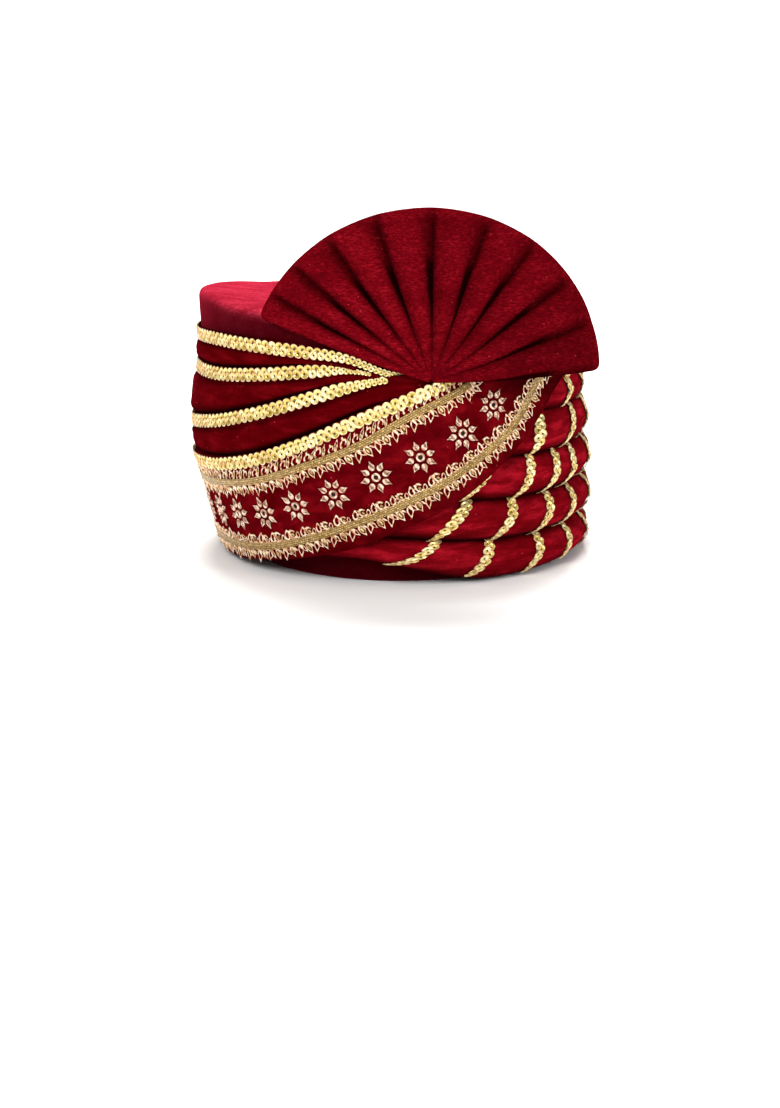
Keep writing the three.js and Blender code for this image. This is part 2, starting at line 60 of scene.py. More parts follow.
# The cap
CROWN_HEIGHT = 140 * MM
HEAD_HALF_WIDTH = 84 * MM
HEAD_HALF_DEPTH = 98 * MM
CROWN_WALL = 3 * MM
TOP_HALF_WIDTH = 106 * MM
TOP_HALF_DEPTH = 114 * MM
RIM_SHIFT = 5 * MM
SHOULDER_RADIUS = 5 * MM
SHOULDER_HEIGHT = CROWN_HEIGHT - SHOULDER_RADIUS
TOP_DOME = 2 * MM
TOP_TILT = 2 * MM
TOP_FALL = 4 * MM
TILT_FROM = 0.9
CORNER_FROM = 0.86 * CROWN_HEIGHT
CORNER_START = 0.68
DENT_LENGTH = 35 * MM
SIDE_SHADE_FROM = CROWN_HEIGHT - 6 * MM
SIDE_SHADE_TO = CROWN_HEIGHT + 0.3 * MM
CAP_COLUMNS = 120
SIDE_RINGS = 14
SHOULDER_RINGS = 5
TOP_RINGS = 12

# Cloth and padding
CLEARANCE = 0.4 * MM
FOLD_SEAM = 0.5 * MM
FOLD_NOTCH = 2 * MM
CLOTH = 1.2 * MM
PADDING = 20 * MM
BAND_THICKNESS = 3 * MM
BAND_STAND = 1 * MM
COVER_RUN = 10 * MM
COVER_MARGIN = 5 * MM
CREASE_SPACING = 9 * MM

# The wraps close up on each other between these degrees before their ends, and their folds fill up
# between these degrees before and after the ends of their laces
CLOSING, CLOSED = 22, 5
FILLING, FILLED = 1, 3
CLOSED_OVERLAP = 1 * MM
# A fold between a wrap and the lace above it is shut at the first height and open at the second
FOLD_OPENS = (1 * MM, 9 * MM)
WRAP_CREASE_SPAN = 26 * MM
# The band's top edge is painted with shade up to these angles, and its upper part from those on
# with the fan's painted shadow, behind the fan
EDGE_SHADE_ANGLES = (2, 9)
FAN_SHADE_ANGLES = (24, 40)
FAN_SHADE_HEIGHTS = (88 * MM, 104 * MM)
BAND_COVER_RUN = 4 * MM

# The rolled tiers
TIER_COUNT = 5
TIER_PITCH = 21.6 * MM
LOWEST_TIER = 21.5 * MM
TIER_LEAN = 4.5 * MM
LEAN_ANGLES = (-10, 40)
BASE_LIFT = 13 * MM
LIFT_ANGLES = (-14, 32)
CREASE_SHARE = 0.34
TIERS_FROM = -54
TIER_MARGIN = 5 * MM
TIER_END = 189
TIER_END_THICKNESS = 2.4 * MM
HEM_OVERLAP = 9
ANGLE_STEP = 9
WRAP_START = TIER_END - HEM_OVERLAP - 360

# Laces, borders and flowers
LACE_WIDTH = 7.5 * MM
LACE_STAND = 2 * MM
BAND_LACE_END = 17
UPPER_BORDER_END = 22
LOWER_BORDER_END = 54
FLOWER_PITCH = 11.7
LAST_FLOWER = 30.7
FLOWER_HEM = 21
LAST_FLOWER_TURN = -2.1
LAST_FLOWER_RISE = 2.3 * MM
PETALS = 8
LOWER_TUCK_FROM = 31
LOWER_TUCK_RUN = 13.5
PETAL_START = 1.9 * MM
UPPER_TUCK_ANGLES = (-8, 10)
SIDE_LEAN_ANGLES = (-85, -45)
MOTIF_RADIUS = 1.6 * MM
MOTIF_LIFT = 0.35 * MM
MOTIF_JITTER = 0.6 * MM
BRAID_THICKNESS = 0.8 * MM
BRAID_LIFT = 0.2 * MM
END_MOTIFS = (-80, -40, 0, 40, 80)

# Tapes and sequins. The tape's half width is a share of the lace's
TAPE_SHARE = 0.72
TAPE_LIFT = 0.12 * MM
TAPE_THICKNESS = 0.3 * MM
SEQUIN_LIFTS = (0.5 * MM, 0.62 * MM)
SEQUIN_TILT = 0.05
SEQUIN_WOBBLE = 0.12
SMALLEST_SEQUIN = 0.25
SEQUIN_RIM = 0.84
TAPE_COLUMNS = 160
ROLL_LACE_ENDS = (0.04, 0.99)
ROLL_LACE_LIFT = 0.1 * MM

# The fan
FAN_RADIUS = 87 * MM
FAN_FOOT = 3 * MM
FAN_PIVOT_X = 21 * MM
FAN_PIVOT_HEIGHT = 0.781 * CROWN_HEIGHT
FAN_THICKNESS = 2.2 * MM
FAN_LEAN = 4 * MM
FAN_LEAN_RUN = 12 * MM
FAN_CURVE = 1.52 * TOP_HALF_WIDTH**2 / TOP_HALF_DEPTH
FAN_STAND = 1 * MM
FAN_ROWS = 30
FAN_CROWD = 0.3
FAN_RIPPLE = 0.4 * MM
RIPPLE_LENGTH = 16 * MM
FAN_HEM = 0.35 * MM
FAN_HEM_FROM = (0.965, 0.985)
# Shares of a pleat at which the cloth's columns lie, closest in the valleys
PLEAT_SHARES = (0, 0.03, 0.06, 0.095, 0.135, 0.185, 0.26, 0.37, 0.5, 0.63, 0.75, 0.85, 0.92, 0.96, 0.985)

# Angle of each valley above the +X side, and the reach of the rim there
FAN_PLEATS = (
    (1.5, 1), (18.5, 1), (35.5, 1), (53, 1), (70.5, 1), (89.5, 1.005),
    (109, 1.015), (126, 1.03), (140.5, 1.045), (152.5, 1.06), (161.5, 1.07),
)
# Share of the crown's height; padding on the turban's own left and right as shares of the most
PADDING_ROWS = (
    (0, 0.62, 0.95), (0.25, 0.65, 0.85), (0.5, 0.72, 0.55),
    (0.75, 0.28, 0.19), (0.9, 0.09, 0.09), (1, 0.06, 0.06),
)
# Angle; heights of the three laces between the wraps
LACE_ROWS = (
    (-180, 0.845, 0.69, 0.51), (-130, 0.85, 0.71, 0.505), (-90, 0.86, 0.735, 0.51),
    (-60, 0.878, 0.745, 0.564), (-40, 0.879, 0.772, 0.629), (-24, 0.872, 0.8, 0.698),
    (-12, 0.856, 0.812, 0.75), (0, 0.802, 0.79, 0.783), (16, 0.78, 0.78, 0.786),
)
# Angle; heights of the band's top, upper border, lower border and bottom
BAND_ROWS = (
    (-180, 0.37, 0.275, 0.072, 0.01), (-130, 0.378, 0.283, 0.072, 0.01),
    (-90, 0.4, 0.299, 0.073, 0.01), (-60, 0.43, 0.327, 0.087, 0.022),
    (-40, 0.488, 0.379, 0.12, 0.062), (-24, 0.57, 0.457, 0.183, 0.105),
    (-12, 0.645, 0.525, 0.246, 0.15), (0, 0.715, 0.607, 0.314, 0.218),
    (16, 0.8, 0.7, 0.425, 0.314), (32, 0.875, 0.81, 0.565, 0.462),
    (46, 0.91, 0.87, 0.697, 0.612), (60, 0.92, 0.9, 0.82, 0.77),
)
TOP, UPPER, LOWER, BOTTOM = 1, 2, 3, 4
# Lace above, line below (4 is the band), the wrap's end, and its lace's end, taper and end share
WRAPS = (
    (1, 2, -9, 7, 38, 0.3),
    (2, 3, -3, -5.5, 18, 0.15),
    (3, 4, 11.5, -1, 16, 0.45),
)
# First tier, top angle, bottom angle, bow and slant of the laces down the front of the tiers
FRONT_LACES = (
    (3, 29, -8, 0.6, 3),
    (2, 49, 18, 0.75, 0),
    (3, 53, 41, 0.8, 2.5),
    (1, 64, 59, 1, 5),
)
SIDE_LACES = 6
FIRST_SIDE_LACE = 78
SIDE_LACE_HEM = 25
SIDE_LACE_SLANT = 5


# The stage
CAMERA_LENS = 70.02
CAMERA_SENSOR = 36
FLOOR_WIDTH = 12
FLOOR_ENDS = (-4, 1.6)
FLOOR_BEND = 1.4

# Cotton velvets: stretch of their marks, shades from pressed to raised pile, colour of the painted shade
# in folds and shadows, softness of the marks, share of fine grain in them, and sheen
BLACK, WINE = "#070000", "#300003"
VELVETS = {
    # Padded wraps: pile pressed smooth, a deep red against which the laces shine
    "velvet_wraps": ((0.6, 0.6, 2.2), ("#3a0002", "#4e0105", "#700810"), BLACK, 0.2, 0.4, 0.25),
    # The band: the same cloth stretched flat, a little lighter and more even
    "velvet_band": ((1, 1, 1.6), ("#3e0003", "#540208", "#7a0a12"), BLACK, 0.2, 0.3, 0.25),
    # Rolls stuffed round: bright crests that fall off fast into their creases;
    # painted lighter than the wraps for the stronger light that falls on the rolls
    "velvet_rolls_painted_light": ((0.5, 0.5, 2.6), ("#540206", "#720610", "#a81424"), BLACK, 0.17, 0.35, 0.35),
    # The fan: pile stroked up, so it is grainy and matt, with hardly any shine
    "velvet_fan": ((0.35, 0.35, 1.6), ("#400207", "#60030c", "#981420"), BLACK, 0.2, 0.75, 0.08),
    # The cap's cloth: painted paler and rosier for its top lit from above, with a strong shine
    "velvet_crown_painted_light": ((0.4, 1.6, 1.2), ("#640816", "#921a2c", "#c03a50"), WINE, 0.15, 0.65, 1.3),
}
# Threads: places and colours of their shades from groove to crest, which paint shade into the grooves
# and glints onto the crests; pitch, metallic and roughness
THREADS = {
    # Bright gilt wire: almost white painted glints on copper
    "gold_wire": (((0.2, "#b07448"), (0.5, "#f4c8a0"), (0.8, "#fff0d8")), 0.8 * MM, 0.15, 0.45),
    # Soft coiled bullion: pinkish, and a little duller than the wire
    "pale_bullion": (((0.2, "#94644c"), (0.5, "#dcb498"), (0.8, "#fce6d0")), 0.9 * MM, 0.15, 0.45),
    # Painted shadow under the petals and the flower rings, drawn as felt padding: dull and nearly black,
    # its fibres drawn by the same slanting turns
    "painted_shadow_pad": (((0.2, "#140602"), (0.6, "#2a1208"), (0.9, "#3c2010")), 0.8 * MM, 0, 0.9),
    # Rims of the sequins: a warm edge round each disc, a painted reflection of the red velvet
    "sequin_rim_reflection": (((0.2, "#b8885a"), (0.5, "#e0b880"), (0.8, "#fce8b8")), 1 * MM, 0.3, 0.4),
    # Loose gold floss: yellower and darker, so the curls look filled
    "gold_floss": (((0.2, "#6e5420"), (0.5, "#b8985a"), (0.8, "#f0dca0")), 0.8 * MM, 0.3, 0.45),
    # Bronze tape: the dark ground that shows between the sequins;
    # its darkness is also painted shade for their holes and gaps
    "bronze_tape_and_shade": (((0.2, "#2a1a08"), (0.6, "#5e4418"), (0.9, "#a88c48")), 1 * MM, 0.4, 0.5),
}
LACE_FINISHES = ("metallised_sequin_film", "bronze_tape_and_shade", "sequin_rim_reflection")
BORDER_FINISHES = ("zari_braid", "gold_wire", "gold_floss")
FLOWER_FINISHES = ("pale_bullion", "painted_shadow_pad")


def mix(start, end, share):
    return start + (end - start) * share


def clamp(value, low=0.0, high=1.0):
    return min(max(value, low), high)


def unit(start, end):
    """The direction from one point to another."""
    return (end - start).normalized()


def wander(x, y, z):
    """Smooth noise at a place, from -1 to 1."""
    return noise.noise(Vector((x, y, z)))


def ease(value, low, high):
    t = clamp((value - low) / (high - low))
    return t * t * (3 - 2 * t)


def follow(rows, column, place):
    """Smooth curve through one column of a table, whose first column is the place."""
    last = len(rows) - 1
    place = clamp(place, rows[0][0], rows[last][0])
    i = 0
    while i < last - 1 and place > rows[i + 1][0]:
        i += 1

    def slope(k):
        before, after = rows[max(k - 1, 0)], rows[min(k + 1, last)]
        return (after[column] - before[column]) / (after[0] - before[0])

    span = rows[i + 1][0] - rows[i][0]
    t = (place - rows[i][0]) / span
    return (
        rows[i][column] * (2 * t**3 - 3 * t**2 + 1)
        + slope(i) * span * (t**3 - 2 * t**2 + t)
        + rows[i + 1][column] * (3 * t**2 - 2 * t**3)
        + slope(i + 1) * span * (t**3 - t**2)
    )


def row_shift():
    """The source's middle line in the row frame: the middle of the cap's box."""
    low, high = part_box("crown_cap")
    return Vector(((low.x + high.x) / 2, (low.y + high.y) / 2, 0))


SHIFT = row_shift()


@lru_cache(maxsize=None)
def crown_oval(height):
    """Half width, half depth and sideways shift of the cap at a height."""
    share = clamp(height / SHOULDER_HEIGHT)
    flare = share * (1.25 - 0.25 * share**2)
    return (
        mix(HEAD_HALF_WIDTH + CROWN_WALL, TOP_HALF_WIDTH, flare),
        mix(HEAD_HALF_DEPTH + CROWN_WALL, TOP_HALF_DEPTH, flare),
        RIM_SHIFT * (1 - share) ** 2,
    )


def body_point(angle, height, offset):
    """A point that stands out from the cap's side, with angles from the front towards +X."""
    half_width, half_depth, shift = crown_oval(height)
    turn = math.radians(angle)
    x = shift + (half_width + offset) * math.sin(turn)
    y = -(half_depth + offset) * math.cos(turn)
    return Vector((x, y, height)) + SHIFT


@lru_cache(maxsize=None)
def padding(angle, height):
    share = height / CROWN_HEIGHT
    side = (1 + math.sin(math.radians(angle))) / 2
    return PADDING * mix(follow(PADDING_ROWS, 1, share), follow(PADDING_ROWS, 2, share), side)


@lru_cache(maxsize=None)
def lace_line(lace, angle):
    return CROWN_HEIGHT * follow(LACE_ROWS, lace, angle)


@lru_cache(maxsize=None)
def band_line(line, angle):
    return CROWN_HEIGHT * follow(BAND_ROWS, line, angle)


def step_at(angle, height, offset):
    """The distance round the body for a degree of angle."""
    ahead = body_point(angle + 0.5, height, offset)
    return (ahead - body_point(angle - 0.5, height, offset)).length


def half_height(line, width, angle):
    """Half the height that a strip takes up where its line climbs."""
    climb = (line(angle + 0.5) - line(angle - 0.5)) / step_at(angle, line(angle), 0)
    return width / 2 * math.hypot(1, climb)


def lace_share(wrap, angle):
    """How much of a wrap lace's width is left on its way into the knot."""
    _, _, _, end, taper, end_share = wrap
    return mix(1, end_share, ease(angle, end - taper, end))


@lru_cache(maxsize=None)
def fold_edges(lace, angle):
    """The top of a fold, and the ledge under its lace. Line 4 is the band's own top."""
    if lace > len(WRAPS):
        return band_line(TOP, angle), None
    wrap = WRAPS[lace - 1]
    width = LACE_WIDTH * lace_share(wrap, angle)
    half = half_height(lambda at: lace_line(lace, at), width, angle) + FOLD_SEAM
    centre = lace_line(lace, angle)
    return centre + half, centre - half


def hem_lift(angle):
    over = TIER_END_THICKNESS + CLEARANCE
    return over * (1 - ease(angle, TIER_END - 360, TIER_END - 360 + ANGLE_STEP))


@lru_cache(maxsize=None)
def tier_top(number, angle):
    lean = TIER_LEAN * (1 - ease(angle, *LEAN_ANGLES))
    return LOWEST_TIER + (TIER_COUNT - number) * TIER_PITCH + lean


def tier_bottom(number, angle):
    if number < TIER_COUNT:
        return tier_top(number + 1, angle)
    return CLEARANCE + BASE_LIFT * (1 - ease(angle, *LIFT_ANGLES))


@lru_cache(maxsize=None)
def tier_start(number):
    start = TIERS_FROM
    while band_line(TOP, start) < tier_top(number, start) + TIER_MARGIN and start < LIFT_ANGLES[1]:
        start += ANGLE_STEP
    return start


@lru_cache(maxsize=None)
def tiered_height(angle):
    tops = [tier_top(n, angle) for n in range(1, TIER_COUNT + 1) if tier_start(n) <= angle + 0.1]
    return max([0, *tops])


def band_outer(angle, height):
    tiered = tiered_height(angle)
    over = 1 - ease(height, tiered + FOLD_SEAM, tiered + FOLD_SEAM + TIER_PITCH / 2)
    beneath = hem_lift(angle) + over * (CLOTH + LACE_STAND)
    return max(padding(angle, height) + BAND_STAND, CLEARANCE + beneath + BAND_THICKNESS)


def wrap_outer(angle, height):
    return max(padding(angle, height), CLEARANCE + hem_lift(angle) + CLOTH)


def ledge_outer(angle, height):
    return max(wrap_outer(angle, height) - FOLD_NOTCH, CLEARANCE + hem_lift(angle) + CLOTH)


def crease(angle, height, seed, stretch=0.05):
    """Long soft creases that run round the body, from -1 to 1."""
    return wander(angle * stretch, height / CREASE_SPACING, seed)


def roll_outer(angle, height, t):
    """How far a roll stands out, at a share t of the way up it."""
    belly = mix(CREASE_SHARE, 1, max(math.sin(math.pi * t), 0) ** 0.55)
    sunk = BAND_THICKNESS + LACE_STAND - BAND_STAND
    edge = band_line(BOTTOM, angle) - COVER_MARGIN
    padded = padding(angle, height) - sunk * ease(height, edge - COVER_RUN, edge)
    full = max(padded * belly, CLEARANCE + CLOTH)
    tuck = ease(angle, TIER_END - 2 * ANGLE_STEP, TIER_END - ANGLE_STEP)
    return mix(full, min(full, TIER_END_THICKNESS), tuck)


def roll_point(number, angle, t):
    """Height and stand of a roll's surface."""
    height = mix(tier_bottom(number, angle), tier_top(number, angle), t)
    depth = bpy.context.scene.turban_cloth.roll_crease_depth
    folds = crease(angle, height, 7.3 * number) + 0.5 * crease(angle, 2.1 * height, 5.9 * number, 0.1)
    swell = depth * math.sin(math.pi * t) * folds
    return height, roll_outer(angle, height, t) + swell


# Mesh helpers


def linear(colour):
    """Linear red, green and blue of an sRGB hex value."""
    parts = [int(colour[i : i + 2], 16) / 255 for i in (1, 3, 5)]
    return [p / 12.92 if p <= 0.04045 else ((p + 0.055) / 1.055) ** 2.4 for p in parts]


def as_data(name, mesh):
    """Mesh data made from a bmesh, which is freed."""
    data = bpy.data.meshes.new(name)
    mesh.to_mesh(data)
    mesh.free()
    return data


def new_object(name, mesh, materials):
    """A smooth object made from a bmesh, at the origin."""
    data = as_data(name, mesh)
    data.shade_smooth()
    for material in materials:
        data.materials.append(material)
    made = bpy.data.objects.new(name, data)
    bpy.context.scene.collection.objects.link(made)
    return made


def finish_piece(name, mesh, finishes, replaced):
    """A piece in the named finishes that rides on the root body and stands for CAD nodes."""
    piece = new_object(name, mesh, [material(finish) for finish in finishes])
    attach(piece, "root")
    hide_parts(*replaced)
    return piece


def subdivide(piece):
    modifier = piece.modifiers.new("smooth", "SUBSURF")
    modifier.levels = 1
    modifier.render_levels = 1


def shaped_grid(columns, rows, place, painted_shade=None):
    """A grid whose point in column i and row j is put where place(i, j) says.

    painted_shade(i, j) is how much shade is painted there, in folds, creases and shadows, from 0 to 1,
    and is kept as an attribute.
    """
    mesh = bmesh.new()
    mesh.loops.layers.uv.new("UVMap")
    bmesh.ops.create_grid(mesh, x_segments=columns, y_segments=rows, size=0.5, calc_uvs=True)
    # The layer that keeps the painted shade
    depth = mesh.verts.layers.float.new("painted_shade")
    for vert in mesh.verts:
        i, j = round((vert.co.x + 0.5) * columns), round((vert.co.y + 0.5) * rows)
        vert.co = place(i, j)
        if painted_shade:
            vert[depth] = clamp(painted_shade(i, j))
    return mesh


def close_up(mesh):
    """Welds seams and poles, fills open ends and turns every face outwards."""
    bmesh.ops.remove_doubles(mesh, verts=mesh.verts[:], dist=0.01 * MM)
    bmesh.ops.dissolve_degenerate(mesh, edges=mesh.edges[:], dist=0.001 * MM)
    ends = [edge for edge in mesh.edges if edge.is_boundary]
    if ends:
        bmesh.ops.holes_fill(mesh, edges=ends, sides=0)
    bmesh.ops.recalc_face_normals(mesh, faces=mesh.faces[:])
    return mesh


def wound_piece(start, end, columns, section):
    """A closed piece of cloth wound round the body.

    section(angle) gives its loop there, as a list of height, offset and painted shade.
    """
    angles = [mix(start, end, i / columns) for i in range(columns + 1)]
    loops = [section(angle) for angle in angles]
    rows = len(loops[0])

    def place(i, j):
        height, offset, _ = loops[i][j % rows]
        return body_point(angles[i], height, offset)

    return close_up(shaped_grid(columns, rows, place, lambda i, j: loops[i][j % rows][2]))


def spaced(count, crowd):
    """Shares from 0 to 1, crowded towards both ends."""
    even = [i / (count - 1) for i in range(count)]
    return [mix(t, 0.5 - 0.5 * math.cos(math.pi * t), crowd) for t in even]


# Materials


def add_node(tree, kind, inputs=None, stops=(), **settings):
    """Adds a node with its settings, its ramp's places and colours, and values or links for its sockets.

    A node among the inputs is linked by its first working output, and another output by its socket.
    """
    made = tree.nodes.new("ShaderNode" + kind)
    for setting, value in settings.items():
        setattr(made, setting, value)
    for socket, value in (inputs or {}).items():
        if isinstance(value, bpy.types.Node):
            value = next(output for output in value.outputs if output.enabled)
        if isinstance(value, bpy.types.NodeSocket):
            tree.links.new(value, made.inputs[socket])
        else:
            made.inputs[socket].default_value = value
    for i, (position, colour) in enumerate(stops):
        if i == len(made.color_ramp.elements):
            made.color_ramp.elements.new(position)
        made.color_ramp.elements[i].position = position
        made.color_ramp.elements[i].color = (*linear(colour), 1)
    return made


def new_material(name):
    """A new material and its empty node tree."""
    made = bpy.data.materials.new(name)
    made.use_nodes = True
    made.node_tree.nodes.clear()
    return made, made.node_tree


def cotton_velvet(name, stretch, shades, deep, soft, grain, sheen):
    """Woven cotton velvet: a dense cut pile, dark head-on, with painted shade in its folds, that shines at
    its edges.
    """
    cloth = bpy.context.scene.turban_cloth
    made, tree = new_material(name)
    place = add_node(tree, "TexCoord").outputs["Object"]
    along = add_node(tree, "Mapping", {"Vector": place, "Scale": stretch, "Rotation": (0, 0, 0.5)})
    # Crush marks where the nap has been pressed over, 12 mm across
    marks = add_node(
        tree, "TexNoise",
        {"Vector": along, "Scale": 1 / (12 * MM), "Detail": 4, "Roughness": 0.6, "Distortion": 0.4},
    )
    # Tufts of pile: real ones are 0.3 mm, and these are three times as large so that they show
    tufts = add_node(
        tree, "TexNoise",
        {"Vector": along, "Scale": 1 / (3 * cloth.pile_tuft), "Detail": 4, "Roughness": 0.75},
    )
    both = add_node(tree, "Mix", {"Factor": grain, "A": marks, "B": tufts})
    spread = add_node(tree, "MapRange", {"Value": both, "From Min": 0.5 - soft, "From Max": 0.5 + soft})
    colour = add_node(tree, "ValToRGB", {"Fac": spread}, zip((0.05, 0.5, 0.95), shades))
    # Lint: a few pale specks, 0.7 mm across, 6 mm apart
    lint = add_node(
        tree, "TexVoronoi", {"Vector": place, "Scale": 1 / (6 * MM), "Randomness": 1}
    ).outputs["Distance"]
    speck = add_node(tree, "Math", {0: lint, 1: 0.06}, operation="LESS_THAN")
    pale = (*linear("#b03038"), 1)
    dusted = add_node(tree, "Mix", {"Factor": speck, "A": colour, "B": pale}, data_type="RGBA")
    # Painted shade: the colour goes towards the shade colour where the painted_shade attribute is high
    fold = add_node(tree, "Attribute", attribute_name="painted_shade").outputs["Fac"]
    share = add_node(tree, "Math", {0: fold, 1: cloth.painted_shade_strength}, operation="MULTIPLY")
    dark = (*linear(deep), 1)
    shaded = add_node(tree, "Mix", {"Factor": share, "A": dusted, "B": dark}, data_type="RGBA")
    bump = add_node(tree, "Bump", {"Height": both, "Strength": 0.6, "Distance": 0.9 * MM})
    surface = add_node(
        tree, "BsdfPrincipled",
        {
            "Base Color": shaded, "Roughness": 0.9, "Normal": bump,
            "Specular IOR Level": 0, "Sheen Weight": cloth.sheen_weight * sheen, "Sheen Roughness": 0.3,
            "Sheen Tint": (*cloth.sheen_colour, 1),
        },
    )
    add_node(tree, "OutputMaterial", {"Surface": surface})
    return made


def sequin_film():
    """Stamped metallised PET film: a bright pale gold mirror, a little different from disc to disc."""
    made, tree = new_material("metallised_sequin_film")
    disc = add_node(tree, "NewGeometry").outputs["Random Per Island"]
    colour = add_node(tree, "ValToRGB", {"Fac": disc}, ((0, "#c4ac4c"), (0.45, "#ead67a"), (1, "#fff8bc")))
    rough = add_node(tree, "MapRange", {"Value": disc, "To Min": 0.2, "To Max": 0.42})
    surface = add_node(tree, "BsdfPrincipled", {"Base Color": colour, "Metallic": 0.6, "Roughness": rough})
    add_node(tree, "OutputMaterial", {"Surface": surface})
    return made


def metal_thread(name, stops, pitch, metallic, rough):
    """Flat metal strip wound on cotton, as zari is: slanting turns, painted with glints and groove shade."""
    made, tree = new_material(name)
    place = add_node(tree, "TexCoord").outputs["Object"]
    # Turns of the strip: real ones are 0.2 mm, and these are as coarse as the pitch so that they show
    turns = add_node(
        tree, "TexWave",
        {
            "Vector": place, "Scale": 1 / (20 * pitch) * 3.14,
            "Distortion": 2.5, "Detail": 2, "Detail Scale": 2,
        },
        bands_direction="DIAGONAL",
    ).outputs["Fac"]
    # Wear of the strip, in patches of 2.5 mm
    wear = add_node(tree, "TexNoise", {"Vector": place, "Scale": 1 / (2.5 * MM), "Detail": 3})
    both = add_node(tree, "Mix", {"Factor": 0.5, "A": turns, "B": wear})
    # The ramp paints shade into the grooves and glints onto the crests
    colour = add_node(tree, "ValToRGB", {"Fac": both}, stops)
    bump = add_node(tree, "Bump", {"Height": turns, "Strength": 0.5, "Distance": 0.25 * MM})
    surface = add_node(
        tree, "BsdfPrincipled",
        {"Base Color": colour, "Metallic": metallic, "Roughness": rough, "Normal": bump},
    )
    add_node(tree, "OutputMaterial", {"Surface": surface})
    return made


def braid():
    """Woven zari braid: rows of little crossed stitches, drawn on the strip's own UV map."""
    made, tree = new_material("zari_braid")
    place = add_node(tree, "TexCoord").outputs["UV"]
    # One unit of the map is a millimetre; real stitches are 0.5 mm, and these are coarser so that they show
    stitches = add_node(
        tree, "TexBrick",
        {
            "Vector": place, "Scale": 1, "Mortar Size": 0.2, "Mortar Smooth": 1, "Bias": 0,
            "Brick Width": 1.4, "Row Height": 1.05,
            "Color1": (*linear("#f2dca4"), 1), "Color2": (*linear("#b09454"), 1),
            "Mortar": (*linear("#4a3010"), 1),
        },
    )
    shade = add_node(tree, "TexNoise", {"Vector": place, "Scale": 1.1, "Detail": 4, "Roughness": 0.8})
    tone = add_node(
        tree, "ValToRGB", {"Fac": shade}, ((0.36, "#46300f"), (0.5, "#d6b67c"), (0.64, "#fff4dc"))
    )
    colour = add_node(
        tree, "Mix", {"Factor": 0.8, "A": stitches.outputs["Color"], "B": tone},
        data_type="RGBA", blend_type="MULTIPLY",
    )
    bump = add_node(
        tree, "Bump", {"Height": stitches.outputs["Fac"], "Strength": 0.8, "Distance": 0.4 * MM}, invert=True
    )
    surface = add_node(
        tree, "BsdfPrincipled",
        {"Base Color": colour, "Metallic": 0.35, "Roughness": 0.45, "Normal": bump},
    )
    add_node(tree, "OutputMaterial", {"Surface": surface})
    return made


def material(name):
    """A finish by its name, made on its first use."""
    if name in bpy.data.materials:
        return bpy.data.materials[name]
    if name in VELVETS:
        return cotton_velvet(name, *VELVETS[name])
    if name in THREADS:
        return metal_thread(name, *THREADS[name])
    return {"metallised_sequin_film": sequin_film, "zari_braid": braid}[name]()


# Pieces


class TURBAN_OT_cap(bpy.types.Operator):
    """The stiff cap: an open oval shell with a rounded shoulder and a flat velvet top"""

    bl_idname = "turban.cap"
    bl_label = "Cap"

    def execute(self, context):
        cloth = context.scene.turban_cloth
        rings = self.wall(CROWN_WALL)[::-1] + self.wall(0)

        def place(i, j):
            half_width, half_depth, shift, height = rings[j]
            turn = math.tau * (i % CAP_COLUMNS) / CAP_COLUMNS
            side, back = math.sin(turn), -math.cos(turn)
            near_top = ease(height, CORNER_FROM, SHOULDER_HEIGHT)
            rim_share = half_width / TOP_HALF_WIDTH
            tilt = -TOP_TILT * side - TOP_FALL * max(back, 0)
            rise = tilt * rim_share * ease(height, TILT_FROM * SHOULDER_HEIGHT, SHOULDER_HEIGHT)
            rise += cloth.crown_corner * ease(-side * rim_share, CORNER_START, 1) * near_top
            point = Vector((shift + half_width * side, half_depth * back, height + rise))
            if height > SHOULDER_HEIGHT:
                point.z += cloth.crown_dent * noise.noise(point / DENT_LENGTH)
            return point + SHIFT

        # Painted shade down the cap's side, below its top that the light falls on
        def painted_shade(i, j):
            return 1 - ease(rings[j][3], SIDE_SHADE_FROM, SIDE_SHADE_TO)

        mesh = close_up(shaped_grid(CAP_COLUMNS, len(rings) - 1, place, painted_shade))
        subdivide(finish_piece("crown", mesh, ["velvet_crown_painted_light"], ["crown_cap"]))
        return {"FINISHED"}

    def wall(self, inset):
        """Rings of the shell from the rim up its side and in to the middle of its top."""
        rings = []
        for i in range(SIDE_RINGS + 1):
            height = SHOULDER_HEIGHT * i / SIDE_RINGS
            half_width, half_depth, shift = crown_oval(height)
            rings.append((half_width - inset, half_depth - inset, shift, height))
        for i in range(1, SHOULDER_RINGS + 1):
            turn = math.pi / 2 * i / SHOULDER_RINGS
            inward = SHOULDER_RADIUS - (SHOULDER_RADIUS - inset) * math.cos(turn)
            height = SHOULDER_HEIGHT + (SHOULDER_RADIUS - inset) * math.sin(turn)
            rings.append((TOP_HALF_WIDTH - inward, TOP_HALF_DEPTH - inward, 0, height))
        for i in range(1, TOP_RINGS + 1):
            share = 1 - i / TOP_RINGS
            height = CROWN_HEIGHT - inset + TOP_DOME * (1 - share**2)
            flat_width = TOP_HALF_WIDTH - SHOULDER_RADIUS
            flat_depth = TOP_HALF_DEPTH - SHOULDER_RADIUS
            rings.append((flat_width * share, flat_depth * share, 0, height))
        return rings


